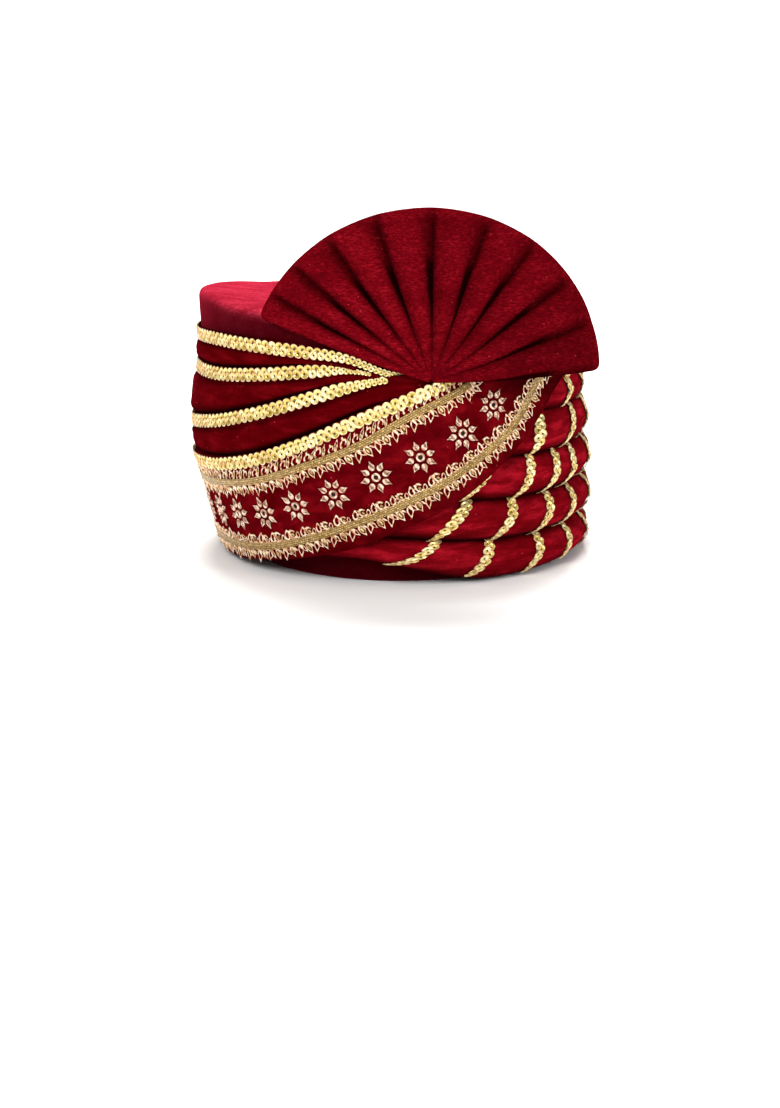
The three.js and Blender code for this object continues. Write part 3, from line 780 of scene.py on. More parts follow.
class TURBAN_OT_wraps(bpy.types.Operator):
    """The three padded wraps that sweep round to the knot, each bulging over the lace below it"""

    bl_idname = "turban.wraps"
    bl_label = "Wraps"

    def execute(self, context):
        depth = context.scene.turban_cloth.wrap_crease_depth
        for number, wrap in enumerate(WRAPS, 1):
            lace, below, end, lace_end = wrap[:4]

            def section(angle):
                apart = 1 - ease(angle, end - CLOSING, end - CLOSED)
                filled = ease(angle, lace_end - FILLING, lace_end + FILLED)
                low = fold_edges(below, angle)[0] + FOLD_SEAM / 2 - CLOSED_OVERLAP * (1 - apart)
                top, ledge = fold_edges(lace, angle)
                ledge = max(ledge, low + 2 * FOLD_SEAM)
                inner = CLEARANCE + hem_lift(angle)

                def sunk_outer(height):
                    return mix(ledge_outer(angle, height), wrap_outer(angle, height), filled)

                open_fold = ease(ledge - low, *FOLD_OPENS) * apart
                loop = [(low, mix(wrap_outer(angle, low), inner, 0.5 * apart), open_fold)]
                for share in spaced(15, 0.5):
                    height = mix(low, ledge, share)
                    # Cloth tucks in at its lower edge and again under its lace
                    tuck = 0.9 * apart * (1 - ease(share, 0, 0.16)) + ease(share, 0.84, 1)
                    outer = mix(wrap_outer(angle, height), sunk_outer(height), tuck)
                    belly = math.sin(math.pi * share)
                    outer += depth * belly * crease(angle, share * WRAP_CREASE_SPAN, 3.1 * number)
                    # Painted shade in the fold along the wrap's lower edge and under its lace; its hidden
                    # inside is all shade
                    painted_shade = open_fold * (1 - ease(share, 0, 0.3) + 0.5 * ease(share, 0.8, 1))
                    loop.append((height, max(outer, inner + 0.5 * CLOTH), painted_shade))
                high = top - FOLD_SEAM / 2
                for share in (0.5, 0.95):
                    height = mix(ledge, high, share)
                    loop.append((height, sunk_outer(height), 0.6 * open_fold))
                edge = mix(sunk_outer(high), inner, 0.5 * (1 - filled))
                loop += [(high, edge, open_fold), (high, inner, 1)]
                loop += [(mix(high, low, share), inner, 1) for share in (0.33, 0.66, 1)]
                return loop

            mesh = wound_piece(WRAP_START, end, 130, section)
            piece = finish_piece(
                f"wrap_{number}", mesh, ["velvet_wraps"], [f"left_wrap_{number}"]
            )
            subdivide(piece)
        return {"FINISHED"}


class TURBAN_OT_band(bpy.types.Operator):
    """The embroidered band that climbs from the left over the rolls to the far side of the fan"""

    bl_idname = "turban.band"
    bl_label = "Band"

    def execute(self, context):
        depth = context.scene.turban_cloth.wrap_crease_depth

        def section(angle):
            low = band_line(BOTTOM, angle) + FOLD_SEAM / 2
            high = band_line(TOP, angle) - FOLD_SEAM / 2
            outside, inside = [], []
            for t in spaced(24, 0.8):
                height = mix(low, high, t)
                turned = 1 - math.sqrt(max(math.sin(math.pi * t), 0))
                outer = band_outer(angle, height)
                wave = 0.5 * depth * math.sin(math.pi * t) * crease(angle, height, 21, 0.03)
                stand = outer - BAND_THICKNESS / 4 * turned + wave
                outside.append((height, stand, self.shade(angle, height, t)))
                over = ease(height, tiered_height(angle), tiered_height(angle) + BAND_COVER_RUN)
                solid = CLEARANCE + hem_lift(angle)
                inside.append((height, mix(outer - BAND_THICKNESS, solid, over), 1))
            return outside + inside[::-3]

        mesh = wound_piece(WRAP_START, BAND_ROWS[-1][0], 170, section)
        piece = finish_piece("band", mesh, ["velvet_band"], ["front_band"])
        subdivide(piece)
        return {"FINISHED"}

    def shade(self, angle, height, t):
        """Painted shade at the band's lower edge and at its top edge, and the fan's painted shadow on it."""
        shade = 0.25 * (1 - ease(t, 0, 0.2))
        shade += 0.5 * ease(t, 0.94, 1) * (1 - ease(angle, *EDGE_SHADE_ANGLES))
        return shade + 0.75 * ease(angle, *FAN_SHADE_ANGLES) * ease(height, *FAN_SHADE_HEIGHTS)


class TURBAN_OT_tiers(bpy.types.Operator):
    """The five rolled tiers of velvet over wadding"""

    bl_idname = "turban.tiers"
    bl_label = "Tiers"

    def execute(self, context):
        for number in range(1, TIER_COUNT + 1):

            def section(angle):
                shares = spaced(18, 0.7)
                loop = [(*roll_point(number, angle, t), self.shade(t)) for t in shares]
                low, high = loop[0][0], loop[-1][0]
                back = [(mix(high, low, share), CLEARANCE, 1) for share in (0, 0.33, 0.66, 1)]
                return loop + back

            mesh = wound_piece(tier_start(number), TIER_END, 150, section)
            piece = finish_piece(f"roll_{number}", mesh, ["velvet_rolls_painted_light"], [f"tier_{number}"])
            subdivide(piece)
        return {"FINISHED"}

    def shade(self, t):
        """Painted shade in the creases, and more of it on a roll's underside."""
        return 0.8 * (1 - ease(t, 0, 0.24)) + 0.2 * (1 - ease(t, 0.15, 0.6)) + 0.6 * ease(t, 0.9, 1)


class TURBAN_OT_fan(bpy.types.Operator):
    """The fan: stiffened velvet pleated about the knot, its wings bent back"""

    bl_idname = "turban.fan"
    bl_label = "Fan"

    def execute(self, context):
        cloth = context.scene.turban_cloth
        rays = []
        for (angle, reach), (next_angle, next_reach) in zip(FAN_PLEATS, FAN_PLEATS[1:]):
            for t in PLEAT_SHARES:
                rays.append((mix(angle, next_angle, t), FAN_RADIUS * mix(reach, next_reach, t), t))
        rays.append((FAN_PLEATS[-1][0], FAN_RADIUS * FAN_PLEATS[-1][1], 0))
        foot = math.degrees(math.asin(FAN_PIVOT_X / TOP_HALF_WIDTH))
        stand = band_outer(foot, FAN_PIVOT_HEIGHT) + FAN_STAND + CLEARANCE
        seat = SHIFT.y - body_point(foot, FAN_PIVOT_HEIGHT, stand).y
        first, last = rays[0][0], rays[-1][0]
        corner = cloth.fan_corner_radius
        reaches = spaced(FAN_ROWS + 1, FAN_CROWD)

        def place(i, j):
            angle, radius, t = rays[i]
            share = reaches[j]
            edge = radius * math.radians(min(angle - first, last - angle))
            if edge < corner:
                radius += math.sqrt(corner**2 - (corner - edge) ** 2) - corner
            reach = mix(cloth.fan_gather, radius, share)
            along = reach * math.cos(math.radians(angle))
            up = reach * math.sin(math.radians(angle))
            forward = FAN_LEAN * (1 - math.exp((FAN_FOOT - reach) / FAN_LEAN_RUN))
            # Crests narrow towards the rim, and the pleats are shallow at the foot and at the rim
            narrow = mix(0.7, 1.1, ease(share, 0.2, 0.8))
            crest = max(math.sin(math.pi * t), 0) ** narrow
            deep = mix(0.4, 1, ease(share, 0, 0.4)) * mix(1, 0.35, ease(share, 0.86, 1))
            ripple = FAN_RIPPLE * noise.noise(Vector((along, up, 3 * MM)) / RIPPLE_LENGTH)
            hem = FAN_HEM * ease(share, *FAN_HEM_FROM)
            lift = cloth.fan_pleat_depth * deep * crest + ripple + hem
            y = -(seat + forward + lift + FAN_THICKNESS / 2) + along**2 / (2 * FAN_CURVE)
            return Vector((FAN_PIVOT_X + along, y, FAN_PIVOT_HEIGHT + up)) + SHIFT

        # Painted shade: black slots between the pleats, soft shade on either side of them,
        # and shade on the fan's right side
        def painted_shade(i, j):
            angle, _, t = rays[i]
            share = reaches[j]
            wide = mix(0.07, 0.18, ease(share, 0.15, 0.6))
            slot = max(1 - ease(t, wide, 1.5 * wide), 1 - ease(1 - t, 0.02, 0.06))
            slot *= ease(share, 0.08, 0.22) * (1 - ease(share, 0.66, 0.84))
            shadow = 1 - ease(t, 0, 0.42) + 1 - ease(1 - t, 0, 0.2)
            shadow *= 0.8 * ease(share, 0.15, 0.5) * mix(1, 0.3, ease(share, 0.93, 1))
            lowest = 0.2 * (1 - ease(angle, 4, 40)) * ease(share, 0.2, 0.6)
            side = 0.16 * (1 - ease(angle, 70, 130)) + lowest
            return max(slot, shadow, side)

        mesh = shaped_grid(len(rays) - 1, FAN_ROWS, place, painted_shade)
        bmesh.ops.recalc_face_normals(mesh, faces=mesh.faces[:])
        piece = finish_piece("fan", mesh, ["velvet_fan"], ["pleated_fan"])
        wall = piece.modifiers.new("cloth", "SOLIDIFY")
        wall.thickness = FAN_THICKNESS
        wall.offset = 0
        subdivide(piece)
        return {"FINISHED"}


def template(name, mesh):
    """Mesh data to stamp copies from, its faces turned outwards."""
    bmesh.ops.recalc_face_normals(mesh, faces=mesh.faces[:])
    return as_data(name, mesh)


def spin_round(mesh, steps, sweep=math.tau):
    """Spins everything in a mesh about the upright axis; a full turn closes on itself."""
    bmesh.ops.spin(
        mesh, geom=mesh.verts[:] + mesh.edges[:], cent=(0, 0, 0), axis=(0, 0, 1),
        angle=sweep, steps=steps, use_merge=sweep == math.tau, use_duplicate=False,
    )


def wire_template(name, wire, sides, steps, sweep=math.tau):
    """A ring or an open hook of wire, bent to a radius of one unit."""
    mesh = bmesh.new()
    bmesh.ops.create_circle(mesh, segments=sides, radius=wire)
    bmesh.ops.rotate(mesh, verts=mesh.verts[:], matrix=Matrix.Rotation(math.pi / 2, 3, "X"))
    bmesh.ops.translate(mesh, verts=mesh.verts[:], vec=(1, 0, 0))
    spin_round(mesh, steps, sweep)
    if sweep < math.tau:
        close_up(mesh)
    return template(name, mesh)


def bead_template(name):
    """A round bead, one unit in radius."""
    mesh = bmesh.new()
    bmesh.ops.create_icosphere(mesh, subdivisions=1, radius=1)
    return template(name, mesh)


def stamp(mesh, shape, place, finish=0):
    """Adds a copy of a template, with each of its points put where place(point) says."""
    verts, faces = len(mesh.verts), len(mesh.faces)
    mesh.from_mesh(shape)
    mesh.verts.ensure_lookup_table()
    mesh.faces.ensure_lookup_table()
    for vert in mesh.verts[verts:]:
        vert.co = place(vert.co)
    for face in mesh.faces[faces:]:
        face.material_index += finish


def drop(*shapes):
    """Templates are removed once their copies are stamped."""
    for shape in shapes:
        bpy.data.meshes.remove(shape)


def sequin_template():
    """A stamped disc with a hole and a raised rim, one unit in radius."""
    trim = bpy.context.scene.turban_trim
    hole = trim.sequin_hole / trim.sequin_diameter
    mesh = bmesh.new()
    profile = ((hole, 0), (hole, 0.05), (0.8, 0.08), (0.94, 0.16), (1, 0.02))
    bmesh.ops.create_circle(mesh, segments=len(profile), radius=1)
    for vert, (radius, lift) in zip(mesh.verts[:], profile):
        vert.co = (radius, 0, lift)
    spin_round(mesh, 12)
    for face in mesh.faces:
        middle = face.calc_center_median()
        # The rims take the painted reflection of the red velvet
        if math.hypot(middle.x, middle.y) > SEQUIN_RIM:
            face.material_index = 2
    return template("sequin", mesh)


def path_stops(point_at, step_of):
    """Walks along point_at(s), s from 0 to 1, and gives s after every step, whose length is step_of(s)."""
    fine = 400
    points = [point_at(k / fine) for k in range(fine + 1)]
    travelled = [0.0]
    for a, b in zip(points, points[1:]):
        travelled.append(travelled[-1] + (b - a).length)
    found, k = [], 0
    want = step_of(0) / 2
    while want < travelled[-1]:
        while travelled[k + 1] < want:
            k += 1
        found.append((k + (want - travelled[k]) / (travelled[k + 1] - travelled[k])) / fine)
        want += step_of(found[-1])
    return found


def lace_mesh(surface, share_at, ends=(0.0, 1.0)):
    """A sequin lace along surface(s, across, lift), s from 0 to 1: a tape with two rows of sequins on it."""
    trim = bpy.context.scene.turban_trim
    disc = sequin_template()
    mesh = bmesh.new()
    radius = trim.sequin_diameter / 2
    row = LACE_WIDTH / 2 - radius
    corners = ((-1, 0), (1, 0), (1, 1), (-1, 1))

    def tape_point(i, j):
        s = mix(*ends, i / TAPE_COLUMNS)
        side, up = corners[j % 4]
        across = side * TAPE_SHARE * share_at(s) * LACE_WIDTH / 2
        return surface(s, across, TAPE_LIFT + up * TAPE_THICKNESS)

    tape = template("tape", close_up(shaped_grid(TAPE_COLUMNS, 4, tape_point)))
    stamp(mesh, tape, lambda p: p, 1)

    def step_of(s):
        return trim.sequin_pitch / 2 * mix(SMALLEST_SEQUIN, 1, share_at(mix(*ends, s)))

    stops = path_stops(lambda s: surface(mix(*ends, s), 0, 0), step_of)
    for n, s in enumerate(mix(*ends, s) for s in stops):
        share = share_at(s)
        lower = n % 2
        side = row * share * (1 if lower else -1)
        here = surface(s, side, TAPE_LIFT + SEQUIN_LIFTS[1 - lower])
        ahead = unit(*(surface(clamp(s + step), side, TAPE_LIFT) for step in (-0.002, 0.002)))
        sideways = unit(surface(s, side - 0.5 * MM, 0), surface(s, side + 0.5 * MM, 0))
        out = ahead.cross(sideways).normalized()
        if out.dot(surface(s, side, 1 * MM) - surface(s, side, 0)) < 0:
            out = -out
        along = (ahead * math.cos(SEQUIN_TILT) + out * math.sin(SEQUIN_TILT)).normalized()
        up = along.cross(sideways).normalized()
        if up.dot(out) < 0:
            up = -up
        size = radius * mix(SMALLEST_SEQUIN, 1, share)
        wobble = SEQUIN_WOBBLE * wander(n * 1.7, 3.3, 0.5)
        stamp(mesh, disc, lambda p: here + size * (along * (p.x + wobble * p.z) + sideways * p.y + up * p.z))
    drop(disc, tape)
    return mesh


def line_surface(line, outer, start, end):
    """surface(s, across, lift) for a lace or border that follows line(angle) round the body."""

    @lru_cache(maxsize=None)
    def local(s):
        angle = mix(start, end, s)
        height = line(angle)
        step = step_at(angle, height, outer(angle, height))
        climb = math.atan2(line(angle + 0.5) - line(angle - 0.5), step)
        return angle, height, step, climb

    def surface(s, across, lift, along=0.0):
        angle, height, step, climb = local(s)
        at = angle + (along * math.cos(climb) - across * math.sin(climb)) / step
        up = height + along * math.sin(climb) + across * math.cos(climb)
        return body_point(at, up, outer(at, up) + lift)

    return surface


class TURBAN_OT_wrap_laces(bpy.types.Operator):
    """Sequin laces along the upper edges of the wraps and of the band"""

    bl_idname = "turban.wrap_laces"
    bl_label = "Wrap laces"

    def execute(self, context):
        for number, wrap in enumerate(WRAPS, 1):
            end = wrap[3]
            surface = line_surface(lambda angle: lace_line(number, angle), ledge_outer, WRAP_START, end)
            mesh = lace_mesh(surface, lambda s: lace_share(wrap, mix(WRAP_START, end, s)))
            finish_piece(
                f"sequin_lace_{number}", mesh, LACE_FINISHES, [f"wrap_lace_{number}"]
            )
        surface = line_surface(
            lambda angle: band_line(TOP, angle) - LACE_WIDTH / 2 - FOLD_SEAM,
            band_outer, WRAP_START, BAND_LACE_END,
        )
        mesh = lace_mesh(surface, lambda s: 1 - 0.6 * ease(s, 0.97, 1))
        finish_piece("sequin_lace_4", mesh, LACE_FINISHES, ["band_lace"])
        return {"FINISHED"}


class TURBAN_OT_tier_laces(bpy.types.Operator):
    """Sequin laces that run down over the rolls and into their creases"""

    bl_idname = "turban.tier_laces"
    bl_label = "Tier laces"

    def execute(self, context):
        side_laces = []
        for i in range(SIDE_LACES):
            angle = mix(FIRST_SIDE_LACE, TIER_END - SIDE_LACE_HEM, i / (SIDE_LACES - 1))
            side_laces.append((1, angle, angle, 1, SIDE_LACE_SLANT))
        for number, lace in enumerate([*FRONT_LACES, *side_laces], 1):
            count = TIER_COUNT - lace[0] + 1
            mesh = lace_mesh(
                self.down_the_rolls(*lace), lambda s: self.taper(s * count % 1), ROLL_LACE_ENDS
            )
            finish_piece(
                f"roll_lace_{number}", mesh, LACE_FINISHES, [f"tier_lace_{number}"]
            )
        return {"FINISHED"}

    def taper(self, t):
        """The lace narrows where a crease nips it, most of all at the foot of a roll."""
        return 1 - 0.62 * (1 - ease(t, 0, 0.42)) - 0.4 * ease(t, 0.84, 1)

    def down_the_rolls(self, first, top, bottom, bow, slant):
        """surface(s, across, lift) of a lace from the lowest roll up to the first."""
        count = TIER_COUNT - first + 1
        highest = tier_top(first, TIER_END)

        def surface(s, across, lift):
            n = min(int(s * count), count - 1)
            number = TIER_COUNT - n
            t = clamp(s * count - n)
            low, high = tier_bottom(number, TIER_END), tier_top(number, TIER_END)
            middle = mix(bottom, top, (mix(low, high, t) / highest) ** bow) + slant * (t - 0.5)
            at = middle + math.degrees(across / TOP_HALF_DEPTH)
            height, outer = roll_point(number, at, t)
            below, above = (body_point(at, *roll_point(number, at, clamp(t + d))) for d in (-0.02, 0.02))
            round_it = unit(body_point(at - 1, height, outer), body_point(at + 1, height, outer))
            out = round_it.cross(unit(below, above)).normalized()
            return body_point(at, height, outer) + out * (lift + ROLL_LACE_LIFT)

        return surface


def border_mesh(line, start, end, above, below, rounded=False):
    """A woven core along line(angle) with wire motifs above and below it, and round its end."""
    trim = bpy.context.scene.turban_trim
    surface = line_surface(line, band_outer, start, end)
    half = trim.braid_width / 2
    columns = 220
    # The core's section: shares of its half width and of its thickness, with three ribs
    rows = (
        (-1, 0.1), (-0.95, 0.75), (-0.6, 1.0), (-0.3, 0.72), (0, 1.05),
        (0.3, 0.72), (0.6, 1.0), (0.95, 0.75), (1, 0.1), (0, 0.1),
    )

    def place(i, j):
        across, lift = rows[j % len(rows)]
        return surface(i / columns, across * half, BRAID_LIFT + lift * BRAID_THICKNESS)

    core = shaped_grid(columns, len(rows), place)
    length = sum((surface((k + 1) / 50, 0, 0) - surface(k / 50, 0, 0)).length for k in range(50))
    layer = core.loops.layers.uv.active
    for face in core.faces:
        for loop in face.loops:
            share, row = loop[layer].uv
            across = rows[round(row * len(rows)) % len(rows)][0]
            loop[layer].uv = (share * length / MM, across * half / MM)
    core = template("braid_core", close_up(core))
    mesh = bmesh.new()
    stamp(mesh, core, lambda p: p)
    drop(core)
    for side, (motifs, pitch) in ((1, above), (-1, below)):
        for n, s in enumerate(path_stops(lambda s: surface(s, 0, 0), lambda s: pitch)):
            jitter = MOTIF_JITTER * wander(n * 2.3, side * 5.1, 0.2)
            lean = 0.3 * wander(n * 1.9, side * 3.7, 4.4)
            lean += side * trim.side_lean * (1 - ease(mix(start, end, s), *SIDE_LEAN_ANGLES))
            size = 1 + 0.25 * wander(n * 2.7, side * 1.3, 8.6)
            cos, sin = size * math.cos(lean), size * math.sin(lean)

            def on_edge(u, v, lift):
                return surface(s, side * (half * 0.9 + u * sin + v * cos), lift, u * cos - v * sin + jitter)

            stamp_motif(mesh, motifs[n % len(motifs)], on_edge)
    for turn in END_MOTIFS if rounded else ():
        cos, sin = math.cos(math.radians(turn)), math.sin(math.radians(turn))

        def outwards(u, v, lift):
            reach = half * 0.4 + v
            return surface(1, reach * sin - u * cos, lift, reach * cos + u * sin)

        stamp_motif(mesh, below[0][0], outwards)
    return mesh


def stamp_motif(mesh, motif, place):
    """A motif's bits of wire, put where place(u, v, lift) says."""
    for shape, finish, x, y, turn, wide, tall, point in motif:
        cos, sin = math.cos(turn), math.sin(turn)

        def put(p):
            across = p.x * wide * MM * (1 - point * clamp(p.y) ** 1.5)
            up = p.y * tall * MM
            u = x * MM + across * cos - up * sin
            return place(u, y * MM + across * sin + up * cos, MOTIF_LIFT + p.z * MM)

        stamp(mesh, shape, put, finish)


class TURBAN_OT_borders(bpy.types.Operator):
    """The two woven gold borders of the band, with curls and leaves of gold wire at their edges"""

    bl_idname = "turban.borders"
    bl_label = "Borders"

    def execute(self, context):
        trim = context.scene.turban_trim
        wire = trim.wire_thickness / 2 / MOTIF_RADIUS
        ring = wire_template("wire_ring", wire, 4, 10)
        hook = wire_template("wire_hook", wire, 4, 9, math.radians(290))
        bead = bead_template("wire_bead")
        # Each row of a motif: template, finish, x and y in mm, turn, half width and half height in mm,
        # how pointed. The edges of a border take their motifs in turn
        curl = (
            (hook, 1, -1, 2.5, 0.5, 1.7, 2.2, 0),
            (bead, 2, -1, 2.2, 0.4, 0.7, 1.1, 0),
            (ring, 1, 1.9, 1.5, -0.3, 1, 1.5, 0.3),
            (bead, 1, -2.8, 4.3, 0.5, 0.5, 0.8, 0.5),
        )
        bud = (
            (ring, 1, 0, 2.6, -0.35, 1.5, 2.6, 0.5),
            (hook, 1, 2.3, 1.6, 0.9, 1.1, 1.6, 0),
        )
        leaf = (
            (ring, 1, -0.8, 3, 0.42, 1.45, 3.1, 0.8),
            (ring, 1, 1.6, 2.3, -0.6, 1.1, 2.4, 0.75),
        )
        twin = (
            (ring, 1, -0.2, 2.7, -0.2, 1.5, 2.7, 0.85),
            (bead, 2, -0.2, 2.3, -0.2, 0.85, 1.6, 0.6),
            (bead, 1, 2.3, 1.5, -0.7, 0.6, 1.6, 0.6),
        )
        stroke = (
            (ring, 1, 0, 2.9, -0.62, 0.75, 3.2, 0.7),
            (bead, 2, -0.3, 2.2, -0.62, 0.4, 1.8, 0.5),
        )
        spur = (
            (hook, 1, 0.2, 2.2, -0.9, 1.1, 2.3, 0),
            (bead, 1, 0.9, 4.6, -0.5, 0.5, 1, 0.5),
        )
        threads = ((stroke, spur), trim.motif_pitch * 0.68)
        leaves = ((leaf, twin), trim.motif_pitch)
        curls = ((curl, bud), trim.motif_pitch)

        def upper_line(angle):
            return band_line(UPPER, angle) + trim.upper_tuck * ease(angle, *UPPER_TUCK_ANGLES)

        def lower_line(angle):
            tucked = clamp((angle - LOWER_TUCK_FROM) / LOWER_TUCK_RUN) ** 2.2
            return band_line(LOWER, angle) + trim.lower_tuck * tucked

        upper = border_mesh(upper_line, WRAP_START, UPPER_BORDER_END, threads, leaves, rounded=True)
        finish_piece("zari_border_upper", upper, BORDER_FINISHES, ["band_border_upper"])
        lower = border_mesh(lower_line, WRAP_START, LOWER_BORDER_END, curls, leaves)
        finish_piece("zari_border_lower", lower, BORDER_FINISHES, ["band_border_lower"])
        drop(ring, hook, bead)
        return {"FINISHED"}


class TURBAN_OT_flowers(bpy.types.Operator):
    """The bullion-wire flowers between the borders: a ring and eight pointed petals"""

    bl_idname = "turban.flowers"
    bl_label = "Flowers"

    def execute(self, context):
        trim = context.scene.turban_trim
        ring = wire_template("petal_ring", 0.34, 5, 12)
        bead = bead_template("petal_bead")
        hub = trim.flower_hub_radius
        pad = hub * 1.5
        first = WRAP_START + FLOWER_HEM
        count = 1 + math.floor((LAST_FLOWER - first) / FLOWER_PITCH)
        mesh = bmesh.new()
        for k in range(count):
            angle = LAST_FLOWER - (count - 1 - k) * FLOWER_PITCH
            rise = 0
            if k == count - 1:
                angle += LAST_FLOWER_TURN
                rise = LAST_FLOWER_RISE
            middle = (band_line(UPPER, angle) + band_line(LOWER, angle)) / 2 + rise
            step = step_at(angle, middle, band_outer(angle, middle))

            def on_band(x, y, lift):
                at = angle + x / step
                return body_point(at, middle + y, band_outer(at, middle + y) + lift)

            first_turn = 0.25 * wander(k * 3.7, 1.1, 4.2)
            stamp(mesh, ring, lambda p: on_band(p.x * hub, p.y * hub, 0.7 * MM + p.z * 2.4 * MM))
            # A dark disc under the ring: painted shadow round it and in its middle
            stamp(mesh, bead, lambda p: on_band(p.x * pad, p.y * pad, 0.12 * MM + p.z * 0.1 * MM), 1)
            for petal in range(PETALS):
                turn = first_turn + math.tau * (petal + 0.5) / PETALS
                stretch = 1 + 0.12 * wander(k * 1.3, petal * 2.9, 0.7)
                self.petal(mesh, ring, bead, on_band, turn, trim.flower_radius * stretch, hub)
        stands_for = [f"flower_{k + 1}" for k in range(count)]
        finish_piece("bullion_flowers", mesh, FLOWER_FINISHES, stands_for)
        drop(ring, bead)
        return {"FINISHED"}

    def petal(self, mesh, ring, bead, on_band, turn, reach, hub):
        """One pointed petal: a loop of wire round a domed pad, with a thin tip."""
        cos, sin = math.cos(turn), math.sin(turn)
        start = hub + PETAL_START
        half = (reach - start) / 2

        def put(p, size, lift, tall):
            wide = (1 - 0.88 * clamp(p.x + 0.1) ** 1.3) * size * 1.6 * MM
            x = start + half + half * p.x * mix(size, 1, clamp(p.x))
            y = p.y * wide
            return on_band(x * cos - y * sin, x * sin + y * cos, lift + p.z * tall)

        # Template, size, lift and height in mm, and finish: the loop, its pad, a dark slit of painted shade,
        # and beneath, a felt pad of painted shadow
        layers = (
            (ring, 0.8, 0.5, 1.5, 0), (bead, 0.62, 0.3, 0.6, 0),
            (bead, 0.2, 0.8, 0.3, 1), (bead, 1.22, 0.1, 0.1, 1),
        )
        for shape, size, lift, tall, finish in layers:
            stamp(mesh, shape, lambda p: put(p, size, lift * MM, tall * MM), finish)


class TURBAN_OT_stage(bpy.types.Operator):
    """A plain pale floor, soft studio lamps and the camera"""

    bl_idname = "turban.stage"
    bl_label = "Stage"

    def execute(self, context):
        stage = context.scene.turban_stage
        self.floor(stage)
        world = bpy.data.worlds.new("studio")
        context.scene.world = world
        world.use_nodes = True
        sky = world.node_tree.nodes["Background"].inputs
        sky["Color"].default_value = (*linear("#ffffff"), 1)
        sky["Strength"].default_value = stage.room_light
        turban, backdrop = (0, 0, 0.08), (0, 2.8, 0.5)
        lamps = (
            ("key", (-0.5, -1.5, 1.1), turban, 0.8, stage.key_power),
            ("top", (0.0, 0.7, 1.4), turban, 0.9, stage.top_power),
            ("side", (1.3, -0.9, 0.7), turban, 0.6, stage.side_power),
            ("backdrop", (0.0, 0.9, 1.2), backdrop, 1.2, stage.backdrop_power),
        )
        for name, place, target, size, power in lamps:
            lamp = bpy.data.lights.new(name, "AREA")
            lamp.size = size
            lamp.energy = power
            holder = bpy.data.objects.new(name, lamp)
            context.scene.collection.objects.link(holder)
            holder.location = place
            aim = Vector(target) - Vector(place)
            holder.rotation_euler = aim.to_track_quat("-Z", "Y").to_euler()
        camera = bpy.data.objects.new("camera", bpy.data.cameras.new("camera"))
        context.scene.collection.objects.link(camera)
        camera.data.lens = CAMERA_LENS
        camera.data.sensor_width = CAMERA_SENSOR
        camera.location = SHIFT + Vector((0, -stage.camera_distance, stage.camera_height))
        camera.rotation_euler = (math.radians(90) - stage.camera_pitch, 0, 0)
        context.scene.camera = camera
        context.scene.view_settings.view_transform = "Standard"
        return {"FINISHED"}

    def floor(self, stage):
        """The backdrop: a level floor that bends up behind the turban."""
        paper, tree = new_material("matt_paper")
        surface = add_node(
            tree, "BsdfPrincipled",
            {"Base Color": (*stage.floor_colour, 1), "Roughness": 0.9, "Specular IOR Level": 0.1},
        )
        add_node(tree, "OutputMaterial", {"Surface": surface})
        rows = 24

        def place(i, j):
            return Vector(((i - 0.5) * FLOOR_WIDTH, *self.sweep(j / rows)))

        new_object("floor", shaped_grid(1, rows, place), [paper])

    def sweep(self, t):
        """How far back and how high the backdrop is, at a share t of its length."""
        if t < 0.5:
            return mix(*FLOOR_ENDS, t * 2), 0
        turn = (t - 0.5) * math.pi
        back = FLOOR_ENDS[1] + FLOOR_BEND * math.sin(turn)
        return back, FLOOR_BEND * (1 - math.cos(turn)) * 2


# Settings


def length(name, description, millimetres):
    return bpy.props.FloatProperty(
        name=name, description=description, default=millimetres * MM, unit="LENGTH", min=0
    )


def power(name, description, watts):
    return bpy.props.FloatProperty(
        name=name, description=description, default=watts, min=0, subtype="POWER"
    )


def colour(name, description, value):
    return bpy.props.FloatVectorProperty(
        name=name, description=description, default=linear(value), min=0, max=1, size=3, subtype="COLOR"
    )


class TurbanCloth(bpy.types.PropertyGroup):
    pile_tuft: length("Pile tuft", "Size of one tuft of the velvet's pile", 0.3)
    wrap_crease_depth: length("Wrap creases", "Depth of the soft creases along the wraps", 0.7)
    roll_crease_depth: length("Roll creases", "Depth of the soft creases along the rolls", 0.9)
    crown_dent: length("Crown dents", "Depth of the shallow dents in the crown's top", 0.8)
    crown_corner: length("Crown corner", "How far the crown's top rises at the turban's right", 3)
    fan_pleat_depth: length("Fan pleats", "Depth of the fan's pleats", 8)
    fan_gather: length("Fan gather", "Radius that the pleats are gathered to at the foot", 0.6)
    fan_corner_radius: length("Fan corners", "Radius of the fan's two lower corners", 4)
    sheen_weight: bpy.props.FloatProperty(
        name="Sheen", description="How strongly the pile shines at its edges", default=0.22, min=0, max=1
    )
    sheen_colour: colour("Sheen colour", "Colour of the pile's shine", "#ff3a58")
    # How strongly the painted shade darkens the velvets, in folds, creases and shadows
    painted_shade_strength: bpy.props.FloatProperty(
        name="Fold shade", description="How dark the pile is in the folds", default=0.95, min=0, max=1,
        subtype="FACTOR",
    )


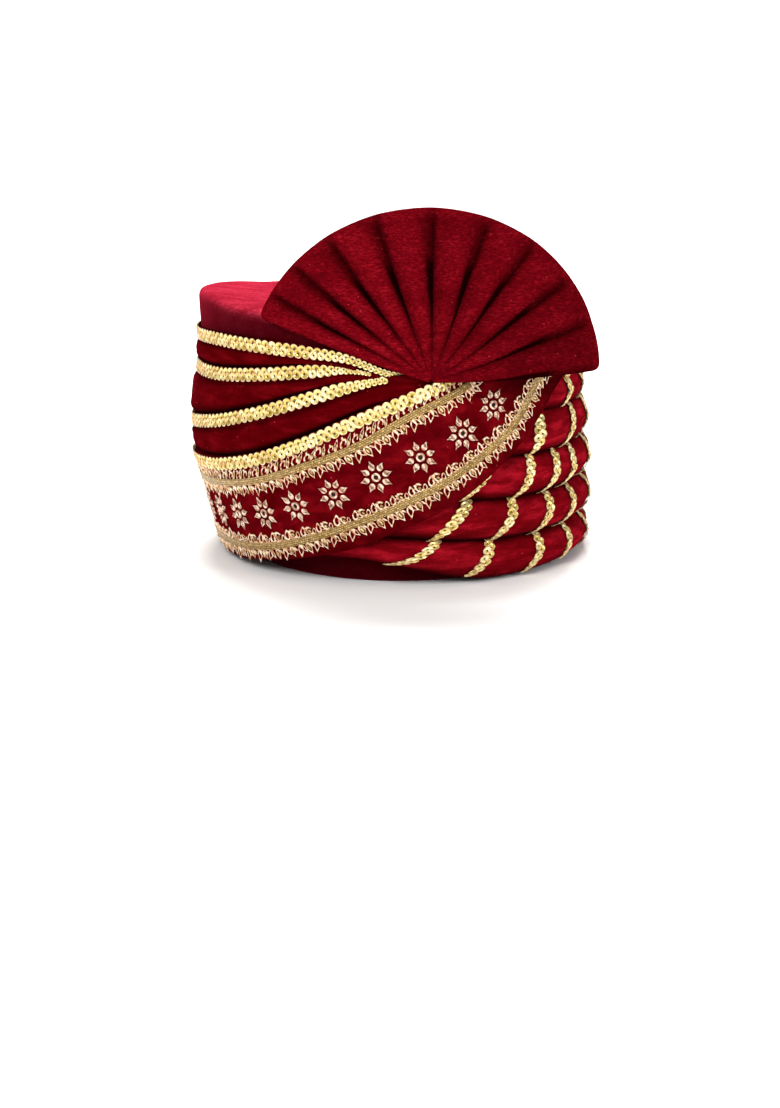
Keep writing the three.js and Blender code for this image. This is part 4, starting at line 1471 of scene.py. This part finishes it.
class TurbanTrim(bpy.types.PropertyGroup):
    sequin_diameter: length("Sequin", "Diameter of a sequin", 5.3)
    sequin_hole: length("Sequin hole", "Diameter of the hole in a sequin", 1.2)
    sequin_pitch: length("Sequin pitch", "Distance from one sequin to the next in its row", 4.6)
    braid_width: length("Braid", "Width of the woven core of a border", 3.9)
    wire_thickness: length("Wire", "Thickness of the gold wire in the borders", 0.9)
    motif_pitch: length("Motif pitch", "Distance from one wire motif to the next", 5.4)
    side_lean: bpy.props.FloatProperty(
        name="Side lean", description="How far the motifs lean round the turban's right side",
        default=0.8, min=0, max=1.2, subtype="ANGLE",
    )
    upper_tuck: length("Upper tuck", "How far the upper border turns up towards the fan", 2.6)
    lower_tuck: length("Lower tuck", "How far the lower border turns up under the fan", 10)
    flower_radius: length("Flower", "Reach of a flower's petals", 8.2)
    flower_hub_radius: length("Flower ring", "Radius of the ring in a flower", 1.8)


class TurbanStage(bpy.types.PropertyGroup):
    camera_distance: length("Camera distance", "Distance of the camera in front of the turban", 1200)
    camera_height: length("Camera height", "Height of the camera above the floor", 277)
    camera_pitch: bpy.props.FloatProperty(
        name="Camera pitch", description="How far the camera looks down", subtype="ANGLE",
        default=math.radians(13.4),
    )
    room_light: bpy.props.FloatProperty(
        name="Room light", description="Strength of the even light of the room", default=0.4, min=0
    )
    key_power: power("Key lamp", "Power of the lamp in front", 24)
    top_power: power("Top lamp", "Power of the lamp above", 45)
    side_power: power("Side lamp", "Power of the lamp at the side", 8)
    backdrop_power: power("Backdrop lamp", "Power of the lamp on the backdrop", 16)
    floor_colour: colour("Floor", "Colour of the floor", "#f7f6f5")


class TURBAN_PT_panel(bpy.types.Panel):
    """The turban's sizes and its pieces"""

    bl_idname = "TURBAN_PT_panel"
    bl_label = "Turban"
    bl_space_type = "VIEW_3D"
    bl_region_type = "UI"
    bl_category = "Turban"

    def draw(self, context):
        for group in (context.scene.turban_cloth, context.scene.turban_trim, context.scene.turban_stage):
            box = self.layout.box()
            for name in group.__annotations__:
                box.prop(group, name)
        for operator in OPERATORS:
            self.layout.operator(operator.bl_idname)


GROUPS = {"turban_cloth": TurbanCloth, "turban_trim": TurbanTrim, "turban_stage": TurbanStage}
OPERATORS = (
    TURBAN_OT_cap,
    TURBAN_OT_wraps,
    TURBAN_OT_band,
    TURBAN_OT_tiers,
    TURBAN_OT_fan,
    TURBAN_OT_wrap_laces,
    TURBAN_OT_tier_laces,
    TURBAN_OT_borders,
    TURBAN_OT_flowers,
    TURBAN_OT_stage,
)


def register():
    for kind in (*GROUPS.values(), *OPERATORS, TURBAN_PT_panel):
        bpy.utils.register_class(kind)
    for name, group in GROUPS.items():
        setattr(bpy.types.Scene, name, bpy.props.PointerProperty(type=group))


def unregister():
    for name in GROUPS:
        delattr(bpy.types.Scene, name)
    for kind in reversed((*GROUPS.values(), *OPERATORS, TURBAN_PT_panel)):
        bpy.utils.unregister_class(kind)


def main():
    register()
    bpy.ops.turban.cap()
    bpy.ops.turban.wraps()
    bpy.ops.turban.band()
    bpy.ops.turban.tiers()
    bpy.ops.turban.fan()
    bpy.ops.turban.wrap_laces()
    bpy.ops.turban.tier_laces()
    bpy.ops.turban.borders()
    bpy.ops.turban.flowers()
    bpy.ops.turban.stage()


if __name__ == "__main__":
    main()
